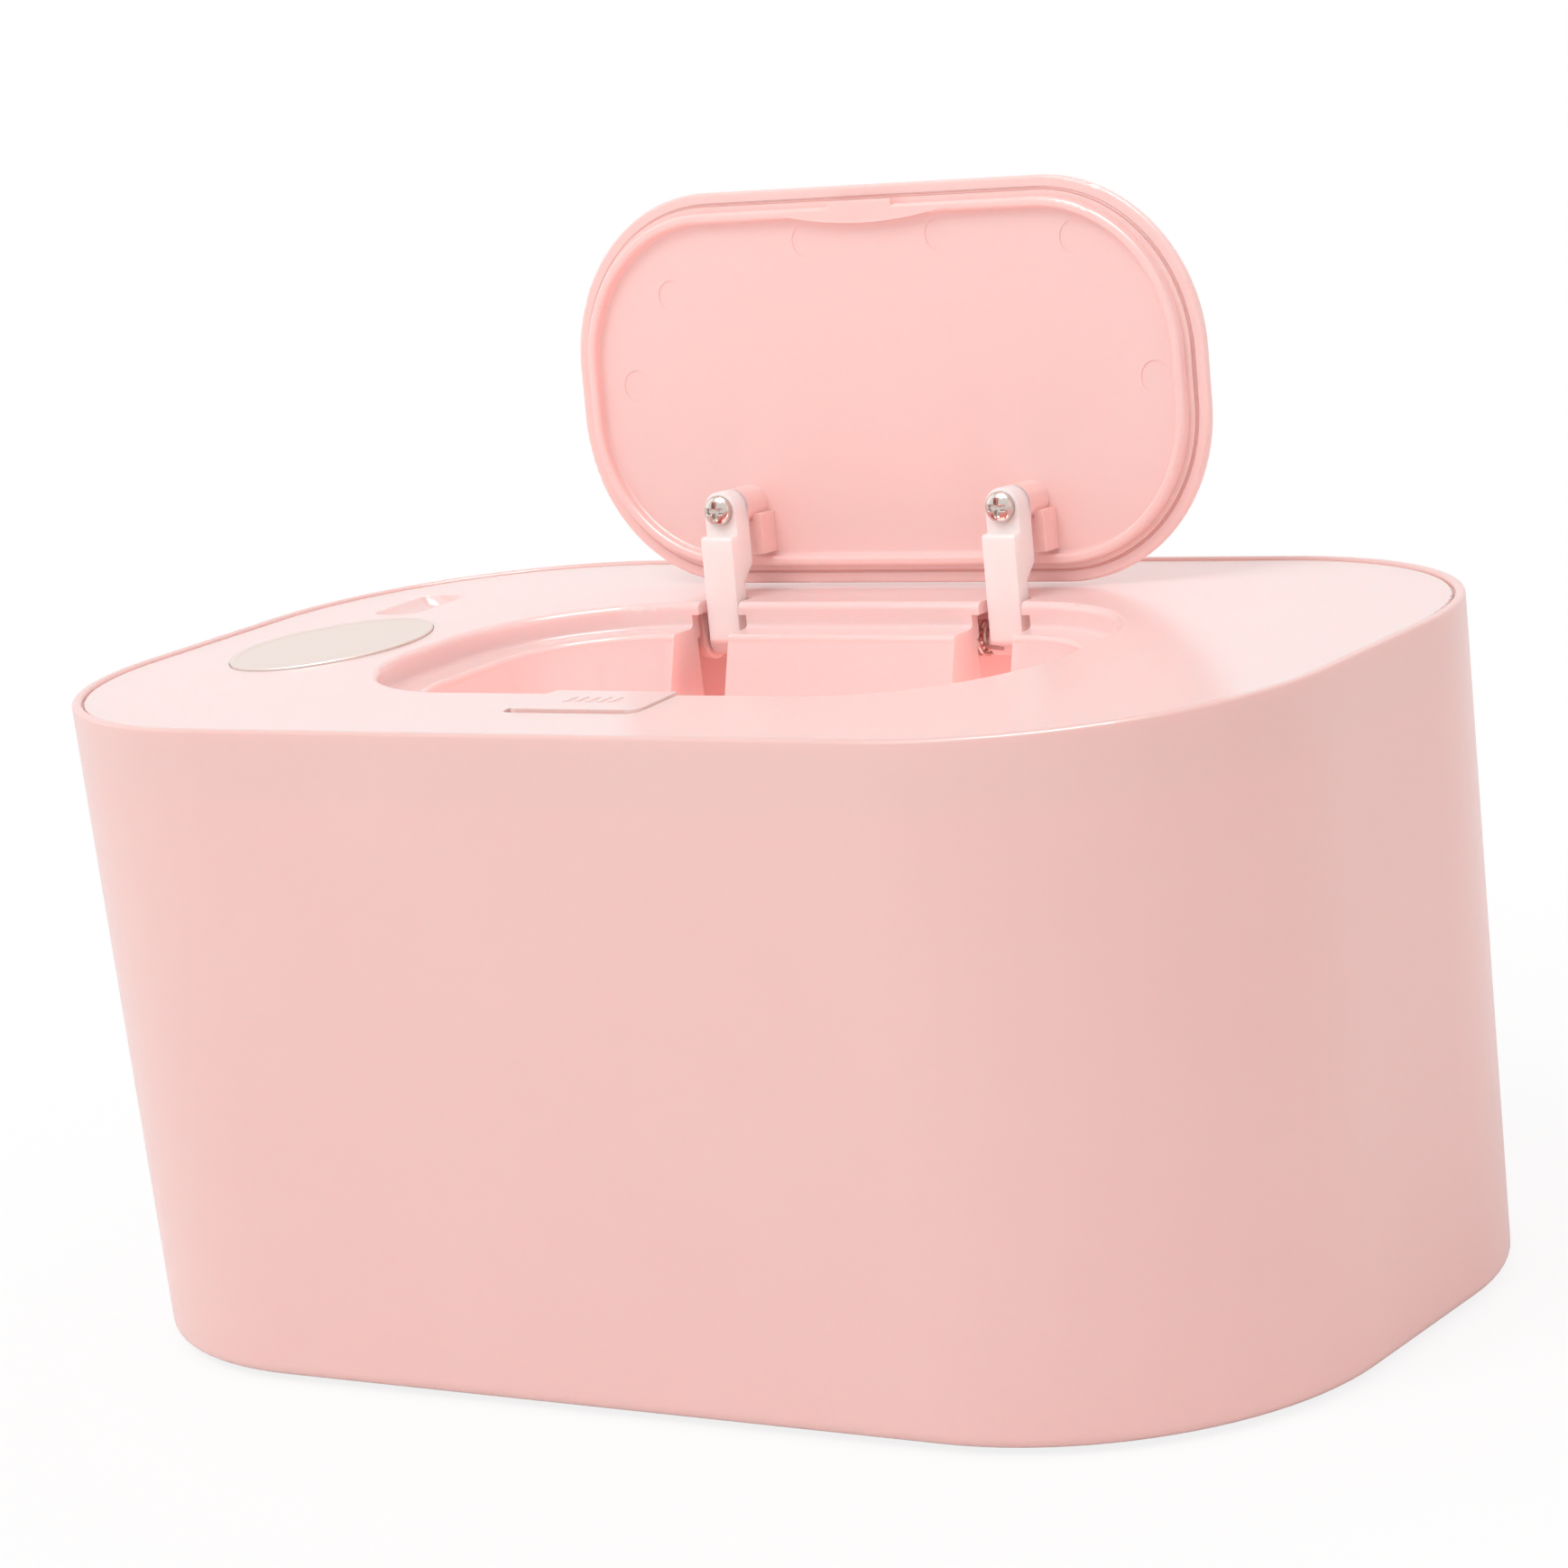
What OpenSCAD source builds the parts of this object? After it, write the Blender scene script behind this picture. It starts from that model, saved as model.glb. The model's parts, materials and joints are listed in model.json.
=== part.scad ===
// Baby wipe warmer with a lift-off top cover and a sprung dispensing lid, shown with its lid open.
// Millimetres, +Z up, front towards -Y. The origin is on the surface it stands on, under the
// middle of the body. The lid's pieces are drawn closed and then turned to the open rest place.

/* [Body] */
// Length of the body at its rim
body_length = 219.4; // [212:0.2:236]
// Depth of the body at its rim, front to back
body_depth = 131.4; // [129:0.2:140]
// Height of the rim above the surface it stands on
body_height = 105.4; // [98:0.2:125]
// Radius of the body's upright corners at the rim
corner_radius = 49; // [45:1:54]
// Wall of the outer shell
wall = 2.4; // [2:0.1:3]
// How far each side of the body draws in from rim to bottom
draft = 2.1; // [1:0.1:3]
// Rounding of the body's bottom edge
bottom_fillet = 2.2; // [1.2:0.1:3]
// Wall of the shell's rim, above the tub's flange
rim_wall = 1.6; // [1.5:0.1:1.9]
// Rounding of the rim's two edges
rim_fillet = 0.6; // [0.4:0.05:0.7]
// How far the feet stand below the shell
foot_proud = 1; // [0.6:0.1:2]

/* [Top cover] */
// How far the deck lies below the rim
deck_drop = 0.4; // [0.3:0.1:1.2]
// Thickness of the deck
deck_thickness = 2.4; // [2:0.1:3]
// Gap between the cover's edge and the shell
cover_gap = 0.3; // [0.3:0.05:0.5]
// Wall of the cover's edge, recess and skirt
cover_wall = 1.8; // [1.5:0.1:2.1]
// Height of the cover's edge, from deck to tub flange
cover_edge_height = 8; // [7:0.5:11]

/* [Lid recess] */
// Clearance between the lid and the recess round it
lid_gap = 0.9; // [0.7:0.1:1.2]
// Depth of the recess below the deck
recess_drop = 4.1; // [4:0.1:4.6]
// Thickness of the ledge at the bottom of the recess
ledge_thickness = 2; // [1.6:0.1:2.4]
// Rounding of the recess rim
recess_rim_fillet = 1.2; // [1:0.1:1.6]
// Length of the dispensing opening
opening_length = 106; // [98:1:108]
// Depth of the dispensing opening, front to back
opening_depth = 53; // [51:0.5:54]
// Corner radius of the dispensing opening
opening_radius = 19; // [18:0.5:22]
// Height of the skirt under the ledge
skirt_height = 16; // [14:0.5:20]
// How far the skirt leans inwards from ledge to bottom
skirt_lean = 4.8; // [3:0.1:6]

/* [Lid] */
// Length of the lid
lid_length = 119.8; // [116:0.2:122]
// Depth of the lid, front to back
lid_depth = 64.6; // [63.6:0.2:65.6]
// Corner radius of the lid
lid_radius = 28; // [26:0.5:30]
// How far the lid lies behind the body's front edge
lid_margin = 30.8; // [29:0.1:32]
// Height of the lid's outer lip
lip_height = 2.1; // [1.9:0.1:2.3]
// Wall of the lid's outer panel and of its liner
lid_wall = 1.3; // [1.1:0.1:1.4]
// Gap between the lid's ridge and the ledge when shut
seat_gap = 0.4; // [0.3:0.05:0.6]
// Height of the sealing ridge beyond the lip
ridge_height = 2.4; // [2.2:0.1:2.6]
// Width of the sealing ridge
ridge_width = 1.6; // [1.4:0.1:2]

/* [Hinge] */
// How far the hinge pin lies behind the lid
hinge_gap = 8; // [7.8:0.1:8.8]
// How far the hinge pin lies below the deck
hinge_drop = 7.15; // [6.9:0.05:7.3]
// Angle from open to shut
open_angle = 92.7; // [88:0.1:94]
// Distance of each hinge arm from the middle
arm_spread = 27; // [26:0.2:28]
// Width of a hinge arm
arm_width = 6; // [5.6:0.1:6.6]
// Distance of the arm screw from the hinge pin
arm_reach = 21.6; // [21:0.1:22.5]
// Diameter of the hinge pin
pin_diameter = 3; // [2.6:0.1:3.2]
// Clearance on each side of an arm in the recess wall
arm_gap = 1; // [0.8:0.1:1.4]
// Clearance on each side of an arm in the ledge and the skirt
slot_gap = 2.4; // [2.2:0.1:2.6]
// Clearance behind an arm in its slot
slot_rear_gap = 0.6; // [0.5:0.05:0.9]

/* [Release button] */
// Width of the button pad at its front edge
button_front_width = 24; // [23:0.5:26]
// Width of the button pad at its rear edge
button_rear_width = 22; // [21:0.5:23]
// Length of the button pad, front to back
button_length = 12.2; // [12:0.1:13]
// How far the pad stands above the deck
button_proud = 0.4; // [0.3:0.1:0.8]
// Gap round the button pad
button_gap = 0.4; // [0.3:0.05:0.5]
// Further gap in front of the pad, which tips forwards when it is pressed
button_travel = 0.8; // [0.75:0.05:1.2]
// Number of grip ribs on the pad
grip_ribs = 5; // [3:1:6]

/* [Tub and heater] */
// Space between the body's outline and the tub
tub_inset = 9; // [8:0.5:10.5]
// Wall of the tub
tub_wall = 1.8; // [1.5:0.1:2.2]
// Height of the tub's underside above the shell's bottom edge
tub_raise = 23; // [22:0.5:26]
// Length of the heater
heater_length = 150; // [130:1:160]
// Depth of the heater, front to back
heater_depth = 80; // [70:1:84]
// Thickness of the insulation under the heater
insulation_thickness = 5; // [4:0.5:6]

/* [Hidden] */
$fn = 64;
fit_gap = 0.3;
clear = 1;

// Levels, from the surface it stands on
shell_z = foot_proud;
rim_z = body_height;
deck_z = rim_z - deck_drop;
deck_under_z = deck_z - deck_thickness;
ledge_z = deck_z - recess_drop;
ledge_under_z = ledge_z - ledge_thickness;
skirt_z = ledge_z - skirt_height;
flange_thickness = 2;
flange_top_z = deck_z - cover_edge_height;
flange_z = flange_top_z - flange_thickness;
plate_lift = 0.4;
plate_thickness = 2.4;
plate_z = shell_z + plate_lift;
plate_top_z = plate_z + plate_thickness;
tub_z = shell_z + tub_raise;
tub_floor = 2;
heater_plate_thickness = 1;
heater_film_thickness = 0.6;
heater_plate_z = tub_z - heater_plate_thickness;
heater_film_z = heater_plate_z - heater_film_thickness;
insulation_z = heater_film_z - insulation_thickness;

// Cover, measured inwards from the body's outline
cover_inset = rim_wall + cover_gap;
deck_join = cover_inset + cover_wall + 4;
bead = 2.6;
bead_height = 1.2;

// Lid recess and opening
lid_forward = body_depth / 2 - lid_margin - lid_depth / 2;
recess_length = lid_length + 2 * lid_gap;
recess_depth = lid_depth + 2 * lid_gap;
recess_radius = lid_radius + lid_gap;
recess_rear = -lid_forward + recess_depth / 2;
recess_front = -lid_forward - recess_depth / 2;
opening_shift = 0.8;
opening_forward = lid_forward - opening_shift;
opening_rear = -opening_forward + opening_depth / 2;
rim_join = 3;
ledge_join = 2;
skirt_lip = 1.2;

// Lid, drawn shut
ridge_z = ledge_z + seat_gap;
lip_z = ridge_z + ridge_height;
lid_top_z = lip_z + lip_height;
liner_top_z = lid_top_z - lid_wall;
panel_z = liner_top_z - lid_wall;
lip_width = 2;
ridge_inset = 3.2;
panel_join = 8;
ejector_radius = 2.7;
ejector_marks = [[-12, -23.8], [13.5, -23.8], [38.4, -22.4], [51.2, 0], [-48, -1], [-39.4, -15.7]];
lid_top_fillet = 1.2;
boss_radius = 3;
rib_side = 2.4;
rib_width = 1.7;
rib_back = 1.4;
rib_length = 6.6;
rib_height = 4;

// Hinge: an arm's profile runs forwards (u) and upwards (v) from the pin, drawn shut
hinge_back = lid_depth / 2 - lid_forward + hinge_gap;
hinge_z = deck_z - hinge_drop;
barrel_radius = 2.8;
foot_drop = 0.3;
bar_low = -6.1;
bar_high = -3.3;
bar_end = 17.4;
ear_low = -4.3;
ear_high = -0.6;
ear_radius = arm_width / 2;
slot_half = arm_width / 2 + slot_gap;
slot_rear = hinge_back + bar_high + slot_rear_gap + fit_gap;
notch_height = 2.1;
flange_wall = 1.3;
flange_reach = 6.8;
hinge_box_half = 44;
hinge_box_gap = 1.5;
hinge_box_wall = 1.6;
cheek_thickness = 2.2;
cheek_radius = 3.6;
cheek_outer = slot_half + 0.5;
spring_room = 5.6;
cheek_inner = cheek_outer + spring_room;
pin_running = 0.05;
pin_seated = 0.02;
pin_end = arm_spread + cheek_outer + cheek_thickness + fit_gap;
screw_shank = 2.6;
screw_head = 5;

// Release button
button_rear = recess_front - fit_gap;
button_front = button_rear - button_length;
button_top_z = deck_z + button_proud;
button_thickness = 2.6;
button_shoulder = 3;
button_under_z = button_top_z - button_thickness;
button_pivot_y = button_rear - 2.4;
button_pivot_z = deck_z - 12;
button_barrel = 2.5;
button_pin_diameter = 2;
web_inner = 6.5;
web_thickness = 2;
latch_width = 12;
catch_height = 0.8;
catch_reach = 0.9;
catch_swell = 1.1;
swell_radius = 70;
latch_z = ridge_z + catch_height + 0.2;
latch_thickness = 0.8;
latch_tip = -lid_forward - lid_depth / 2 + ridge_inset - fit_gap;
bracket_cheek = web_inner + web_thickness + fit_gap;
bracket_wall = 2;
bracket_floor_z = button_pivot_z - button_barrel - 0.6 - bracket_wall;
bracket_front = button_front - 0.6;
bracket_rear = button_pivot_y + 3.4;
bracket_ear_z = deck_under_z - 6;
bracket_screw_x = button_front_width / 2 + button_gap + 3.1;
bracket_screw_y = button_pivot_y - 4;
button_spring_y = button_front + 3.6;

// Badge and finger scoop
badge_x = -81;
badge_y = -3;
badge_length = 40;
badge_width = 30;
badge_thickness = 0.8;
badge_seat = 0.4;
scoop_x = -87.6;
scoop_y = 29.5;
scoop_length = 17;
scoop_width = 9.6;
scoop_depth = 2.6;

// Base screws and feet
boss_inset = 14;
base_boss_radius = 4;
base_boss_top = tub_z - 2;
foot_radius = 6;
foot_x = body_length / 2 - corner_radius;
foot_y = body_depth / 2 - boss_inset - 6;
foot_pocket = 0.8;

// Control board and power socket
board_x = 45;
board_length = 44;
board_depth = 30;
board_thickness = 1.6;
standoff_height = 4;
board_z = plate_top_z + standoff_height;
board_top_z = board_z + board_thickness;
board_rear = body_depth / 2 - 6.2;
board_y = board_rear - board_depth / 2;
connector_height = 4.5;
connector_y = board_y - 10.5;
connector_top_z = board_top_z + connector_height;
lead_radius = 0.9;
lead_bend_radius = 1.5;
tab_y = connector_y + 2 * lead_bend_radius;
jack_z = board_top_z + 6.5;
jack_body = [9, 13.5, 11];
jack_nose_radius = 4;
jack_bore_radius = 3.2;
jack_pin_radius = 1;
jack_front = body_depth / 2 - draft - wall - fit_gap;

// How far the shell's outside has drawn in at a height
function drawn_in(z) = draft * (rim_z - z) / (rim_z - shell_z);

// Unit vector from one point to another
function towards(a, b) = (b - a) / norm(b - a);

// Where the rounding of corner p starts on the side that leads to a, with b the other neighbour
function arc_start(a, p, b, r) =
    p + towards(p, a) * r / tan(acos(towards(p, a) * towards(p, b)) / 2);

// Centre of the arc that rounds corner p
function arc_centre(a, p, b, r) =
    p + towards([0, 0], towards(p, a) + towards(p, b))
        * r / sin(acos(towards(p, a) * towards(p, b)) / 2);

// Place of a corner of a profile, whose points are [x, y, rounding]
function spot(points, i) =
    let (p = points[(i + len(points)) % len(points)]) [p.x, p.y];

// Whether a profile turns left at a corner, so that its rounding takes material away
function is_outer(points, i) =
    let (
        before = towards(spot(points, i - 1), spot(points, i)),
        after = towards(spot(points, i), spot(points, i + 1))
    )
    before.x * after.y - before.y * after.x > 0;

// The piece between a corner and its arc's two ends that the arc's circle covers
module corner_arc(points, i) {
    a = spot(points, i - 1);
    p = spot(points, i);
    b = spot(points, i + 1);
    r = points[i].z;
    intersection() {
        polygon([arc_start(a, p, b, r), p, arc_start(b, p, a, r)]);
        translate(arc_centre(a, p, b, r)) circle(r);
    }
}

// A polygon whose corners, given as [x, y, rounding] and anticlockwise, have true arcs
module rounded_profile(points) {
    last = len(points) - 1;
    difference() {
        union() {
            polygon([
                for (i = [0:last])
                    let (a = spot(points, i - 1), p = spot(points, i), b = spot(points, i + 1))
                    each (points[i].z > 0
                        ? [arc_start(a, p, b, points[i].z), arc_start(b, p, a, points[i].z)]
                        : [p])
            ]);
            for (i = [0:last])
                if (points[i].z > 0 && is_outer(points, i))
                    corner_arc(points, i);
        }
        for (i = [0:last])
            if (points[i].z > 0 && !is_outer(points, i))
                corner_arc(points, i);
    }
}

// A rectangle with true round corners, centred on the origin
module rounded_rect(length, depth, radius) {
    square([length, depth - 2 * radius], center = true);
    square([length - 2 * radius, depth], center = true);
    for (x = [-1, 1], y = [-1, 1])
        translate([x * (length / 2 - radius), y * (depth / 2 - radius)])
            circle(radius);
}

// A profile carried round a rounded rectangle. Its x axis points outwards from the outline
// and its y axis up.
module rounded_loop(length, depth, radius) {
    straight_x = length / 2 - radius;
    straight_y = depth / 2 - radius;
    for (corner = [[1, 1, 0], [-1, 1, 90], [-1, -1, 180], [1, -1, 270]])
        translate([corner.x * straight_x, corner.y * straight_y, 0])
            rotate([0, 0, corner.z])
                rotate_extrude(angle = 90)
                    translate([radius, 0])
                        children();
    for (side = [0, 1]) {
        mirror([0, side, 0])
            translate([-straight_x, 0, 0])
                rotate([90, 0, 90])
                    linear_extrude(2 * straight_x)
                        translate([depth / 2, 0])
                            children();
        mirror([side, 0, 0])
            translate([0, straight_y, 0])
                rotate([90, 0, 0])
                    linear_extrude(2 * straight_y)
                        translate([length / 2, 0])
                            children();
    }
}

// A flat plate that follows the body's outline at an inset
module body_plate(inset, thickness) {
    linear_extrude(thickness)
        rounded_rect(body_length - 2 * inset, body_depth - 2 * inset, corner_radius - inset);
}

// A profile carried round the body's outline
module body_loop() {
    rounded_loop(body_length, body_depth, corner_radius) children();
}

// A profile carried round the lid's outline, drawn shut
module lid_loop() {
    translate([0, -lid_forward, 0])
        rounded_loop(lid_length, lid_depth, lid_radius)
            children();
}

// The lid's outline at an inset
module lid_outline(inset) {
    translate([0, -lid_forward])
        rounded_rect(lid_length - 2 * inset, lid_depth - 2 * inset, lid_radius - inset);
}

// Turns what is drawn with the lid shut to its open place
module opened() {
    translate([0, hinge_back, hinge_z])
        rotate([-open_angle, 0, 0])
            translate([0, -hinge_back, -hinge_z])
                children();
}

// Puts one copy at each base screw
module at_base_screws() {
    reach = (corner_radius - boss_inset) * sqrt(0.5);
    for (x = [-1, 1], y = [-1, 1])
        translate([
            x * (body_length / 2 - corner_radius + reach),
            y * (body_depth / 2 - corner_radius + reach),
            0
        ])
            rotate([0, 0, atan2(y, x)])
                children();
}

// Puts one copy at each foot
module at_feet() {
    for (x = [-1, 1], y = [-1, 1])
        translate([x * foot_x, y * foot_y, 0])
            children();
}

// Puts one copy at each board screw
module at_board_screws() {
    for (x = [-1, 1])
        translate([board_x + x * (board_length / 2 - 4), board_y - board_depth / 2 + 4, 0])
            children();
}

// Puts one copy at each screw of the latch bracket
module at_bracket_screws() {
    for (x = [-1, 1])
        translate([x * bracket_screw_x, bracket_screw_y, 0])
            children();
}

// A pan-head screw along +Z with its head's seat at z = 0 and a cross recess in its head
module pan_screw(shank, length, head, head_height) {
    difference() {
        union() {
            cylinder(d = shank, h = length);
            translate([0, 0, -head_height])
                rotate_extrude()
                    rounded_profile([
                        [0, 0, 0],
                        [head / 2, 0, 0.3],
                        [head / 2, head_height, 0],
                        [0, head_height, 0]
                    ]);
        }
        translate([0, 0, -head_height])
            for (turn = [0, 90])
                rotate([0, 0, turn])
                    cube([head * 0.56, head * 0.16, head_height * 1.1], center = true);
    }
}

// The shell's wall, with the bead that carries the tub's flange
module shell_profile() {
    bead_low_z = flange_z - bead_height - bead;
    rounded_profile([
        [-drawn_in(shell_z), shell_z, bottom_fillet],
        [0, rim_z, rim_fillet],
        [-rim_wall, rim_z, rim_fillet],
        [-rim_wall, flange_z, 0],
        [-drawn_in(flange_z) - wall - bead, flange_z, 0.4],
        [-drawn_in(flange_z) - wall - bead, flange_z - bead_height, 0],
        [-drawn_in(bead_low_z) - wall, bead_low_z, 0],
        [-drawn_in(shell_z) - wall, shell_z, 0]
    ]);
}

module outer_shell() {
    boss_reach = boss_inset - draft - wall / 2;
    color("#f6c9c4")
        difference() {
            union() {
                body_loop() shell_profile();
                at_base_screws() {
                    translate([0, 0, plate_top_z])
                        cylinder(r = base_boss_radius, h = base_boss_top - plate_top_z);
                    translate([0, -1, plate_top_z])
                        cube([boss_reach, 2, base_boss_top - plate_top_z]);
                }
            }
            at_base_screws()
                translate([0, 0, plate_top_z - clear])
                    cylinder(d = screw_shank, h = 12 + clear);
            translate([board_x, body_depth / 2 - 12, jack_z])
                rotate([-90, 0, 0])
                    cylinder(r = jack_nose_radius + fit_gap, h = 20);
        }
}

module base_plate() {
    inset = draft + wall + fit_gap;
    color("#f0beb8")
        difference() {
            union() {
                translate([0, 0, plate_z]) body_plate(inset, plate_thickness);
                at_board_screws()
                    cylinder(r = 2.6, h = board_z);
                for (x = [-1, 1])
                    translate([board_x + x * (board_length / 2 - 4), board_rear - 4, 0])
                        cylinder(r = 2, h = board_z);
            }
            translate([0, 0, -clear])
                cube([body_length, body_depth, 2 * (plate_z + clear)], center = true);
            at_board_screws()
                translate([0, 0, plate_top_z - 1])
                    cylinder(d = 2, h = 10);
            at_base_screws() {
                translate([0, 0, plate_z - clear])
                    cylinder(d = screw_shank + 0.6, h = plate_thickness + 2 * clear);
                translate([0, 0, plate_z - clear])
                    cylinder(d = screw_head + 1, h = 1.2 + clear);
            }
            at_feet()
                translate([0, 0, plate_z - clear])
                    cylinder(r = foot_radius + 0.2, h = foot_pocket + clear);
            for (x = [-4:4])
                translate([x * 6 - 1, -15, plate_z - clear])
                    cube([2, 18, plate_thickness + 2 * clear]);
        }
}

module rubber_feet() {
    color("#8f8a88")
        at_feet()
            rotate_extrude()
                rounded_profile([
                    [0, 0, 0],
                    [foot_radius - 0.6, 0, 0.6],
                    [foot_radius, plate_z + foot_pocket, 0],
                    [0, plate_z + foot_pocket, 0]
                ]);
}

module base_screws() {
    color("#c9c9c9")
        at_base_screws()
            translate([0, 0, plate_z + 1.2])
                pan_screw(screw_shank, 11, screw_head, 1.1);
}

module inner_tub() {
    tub_draft = 1.5;
    low_inset = tub_inset + tub_draft;
    floor_join = low_inset + tub_wall + 8;
    flange_inset = wall + drawn_in(flange_z) + fit_gap;
    color("#fbe9e6") {
        body_loop()
            rounded_profile([
                [-low_inset, tub_z, 5],
                [-tub_inset, flange_z, 0],
                [-flange_inset, flange_z, 0],
                [-flange_inset, flange_top_z, 0.5],
                [-tub_inset - tub_wall, flange_top_z, 0.6],
                [-low_inset - tub_wall, tub_z + tub_floor, 4],
                [-floor_join, tub_z + tub_floor, 0],
                [-floor_join, tub_z, 0]
            ]);
        translate([0, 0, tub_z]) body_plate(floor_join, tub_floor);
    }
}

module heater_plate() {
    color("#c7c9cb")
        translate([0, 0, heater_plate_z])
            linear_extrude(heater_plate_thickness)
                rounded_rect(heater_length, heater_depth, 12);
}

module heater_film() {
    color("#c58a3a")
        translate([0, 0, heater_film_z])
            linear_extrude(heater_film_thickness) {
                rounded_rect(heater_length - 8, heater_depth - 8, 8);
                translate([board_x - 7, 0]) square([14, tab_y + 3]);
            }
}

module insulation_pad() {
    color("#e9e4da")
        difference() {
            translate([0, 0, insulation_z])
                linear_extrude(insulation_thickness)
                    difference() {
                        rounded_rect(heater_length, heater_depth, 12);
                        translate([board_x - 9, connector_y - 4]) square([18, 30]);
                    }
            for (x = [-30, 10])
                translate([x, 0, insulation_z - clear])
                    cylinder(r = 7, h = insulation_thickness + 2 * clear);
        }
}

module thermal_cutoff() {
    color("#d8d2c4")
        translate([-30, 0, heater_film_z - 3.2])
            linear_extrude(3.2)
                rounded_rect(10, 5, 1);
}

module temperature_sensor() {
    color("#2f3133")
        translate([10, 0, heater_film_z - 3]) {
            cylinder(r = 2, h = 3);
            translate([0, 0, 2.4]) cylinder(r = 5, h = 0.6);
        }
}

module control_board() {
    color("#2f7d4f")
        difference() {
            translate([
                board_x - board_length / 2, board_y - board_depth / 2, board_z
            ])
                cube([board_length, board_depth, board_thickness]);
            at_board_screws()
                translate([0, 0, board_z - clear])
                    cylinder(d = 2.6, h = board_thickness + 2 * clear);
        }
    color("#3a3a3a")
        translate([board_x - 15, board_y - 4, board_top_z]) cube([9, 6, 1.6]);
    color("#20242a")
        translate([board_x + 13, board_y + 4, board_top_z]) cylinder(r = 3, h = 6);
    color("#f4f1ea")
        translate([board_x - 4, connector_y - 2.5, board_top_z])
            cube([8, 5, connector_height]);
}

module board_screws() {
    color("#c9c9c9")
        at_board_screws()
            translate([0, 0, board_top_z])
                mirror([0, 0, 1])
                    pan_screw(2, 6, 4, 1.4);
}

module power_socket() {
    nose_length = 2.6;
    color("#26282b")
        translate([board_x, jack_front, 0])
            difference() {
                union() {
                    translate([-jack_body.x / 2, -jack_body.y, board_top_z])
                        cube(jack_body);
                    translate([0, -clear, jack_z])
                        rotate([-90, 0, 0])
                            cylinder(r = jack_nose_radius, h = nose_length + clear);
                }
                translate([0, -10, jack_z])
                    rotate([-90, 0, 0])
                        cylinder(r = jack_bore_radius, h = 20);
            }
    color("#c9c9c9")
        translate([board_x, jack_front - 11, jack_z])
            rotate([-90, 0, 0])
                cylinder(r = jack_pin_radius, h = 12);
}

// A quarter turn of a lead, from straight down towards -Y
module lead_bend() {
    rotate([90, 0, 90])
        rotate_extrude(angle = 90)
            translate([lead_bend_radius, 0])
                circle(lead_radius, $fn = 24);
}

// A lead comes down from the heater's tab, steps forwards and goes down into the connector
module lead() {
    mid_z = (heater_film_z + connector_top_z) / 2;
    translate([0, tab_y, mid_z + lead_bend_radius])
        cylinder(r = lead_radius, h = heater_film_z - mid_z - lead_bend_radius, $fn = 24);
    translate([0, tab_y - lead_bend_radius, mid_z + lead_bend_radius])
        mirror([0, 0, 1]) lead_bend();
    translate([0, tab_y - lead_bend_radius, mid_z - lead_bend_radius])
        mirror([0, 1, 0]) lead_bend();
    translate([0, connector_y, connector_top_z])
        cylinder(r = lead_radius, h = mid_z - lead_bend_radius - connector_top_z, $fn = 24);
}

module heater_leads() {
    color("#b5302c")
        for (x = [-2, 2])
            translate([board_x + x, 0, 0])
                lead();
}

// The scoop for a fingertip: a round bar with rounded ends that lies along Y, with its axis
// above the deck
module scoop(grown) {
    half = scoop_length / 2 + grown;
    radius = (scoop_width * scoop_width / 4 + scoop_depth * scoop_depth) / (2 * scoop_depth);
    translate([scoop_x, scoop_y, deck_z + radius - scoop_depth])
        rotate([90, 0, 0])
            rotate_extrude()
                rounded_profile([
                    [0, -half, 0],
                    [radius + grown, -half, 3 + grown],
                    [radius + grown, half, 3 + grown],
                    [0, half, 0]
                ]);
}

// The button pad's outline, grown by a gap, with more room in front for its travel
module button_outline(grown, travel) {
    front = button_front - grown - travel;
    rear = button_rear + grown;
    rounded_profile([
        [-button_front_width / 2 - grown, front, 2],
        [button_front_width / 2 + grown, front, 2],
        [button_front_width / 2 + grown, front + button_shoulder, 0],
        [button_rear_width / 2 + grown, rear, 0],
        [-button_rear_width / 2 - grown, rear, 0],
        [-button_front_width / 2 - grown, front + button_shoulder, 0]
    ]);
}

// The part of the button's hole between two depths
module button_hole(front, rear) {
    intersection() {
        button_outline(button_gap, button_travel);
        translate([-button_front_width, front])
            square([2 * button_front_width, rear - front]);
    }
}

// The deck between the cover's edge and the recess, and the ledge round the opening
module cover_plates() {
    translate([0, 0, deck_under_z])
        linear_extrude(deck_thickness)
            difference() {
                rounded_rect(
                    body_length - 2 * deck_join,
                    body_depth - 2 * deck_join,
                    corner_radius - deck_join
                );
                translate([0, -lid_forward])
                    rounded_rect(
                        recess_length + 2 * rim_join,
                        recess_depth + 2 * rim_join,
                        recess_radius + rim_join
                    );
            }
    translate([0, 0, ledge_under_z])
        linear_extrude(ledge_thickness)
            difference() {
                translate([0, -lid_forward])
                    rounded_rect(
                        recess_length - 2 * ledge_join,
                        recess_depth - 2 * ledge_join,
                        recess_radius - ledge_join
                    );
                translate([0, -opening_forward])
                    rounded_rect(
                        opening_length + 2 * ledge_join,
                        opening_depth + 2 * ledge_join,
                        opening_radius + ledge_join
                    );
            }
}

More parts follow.
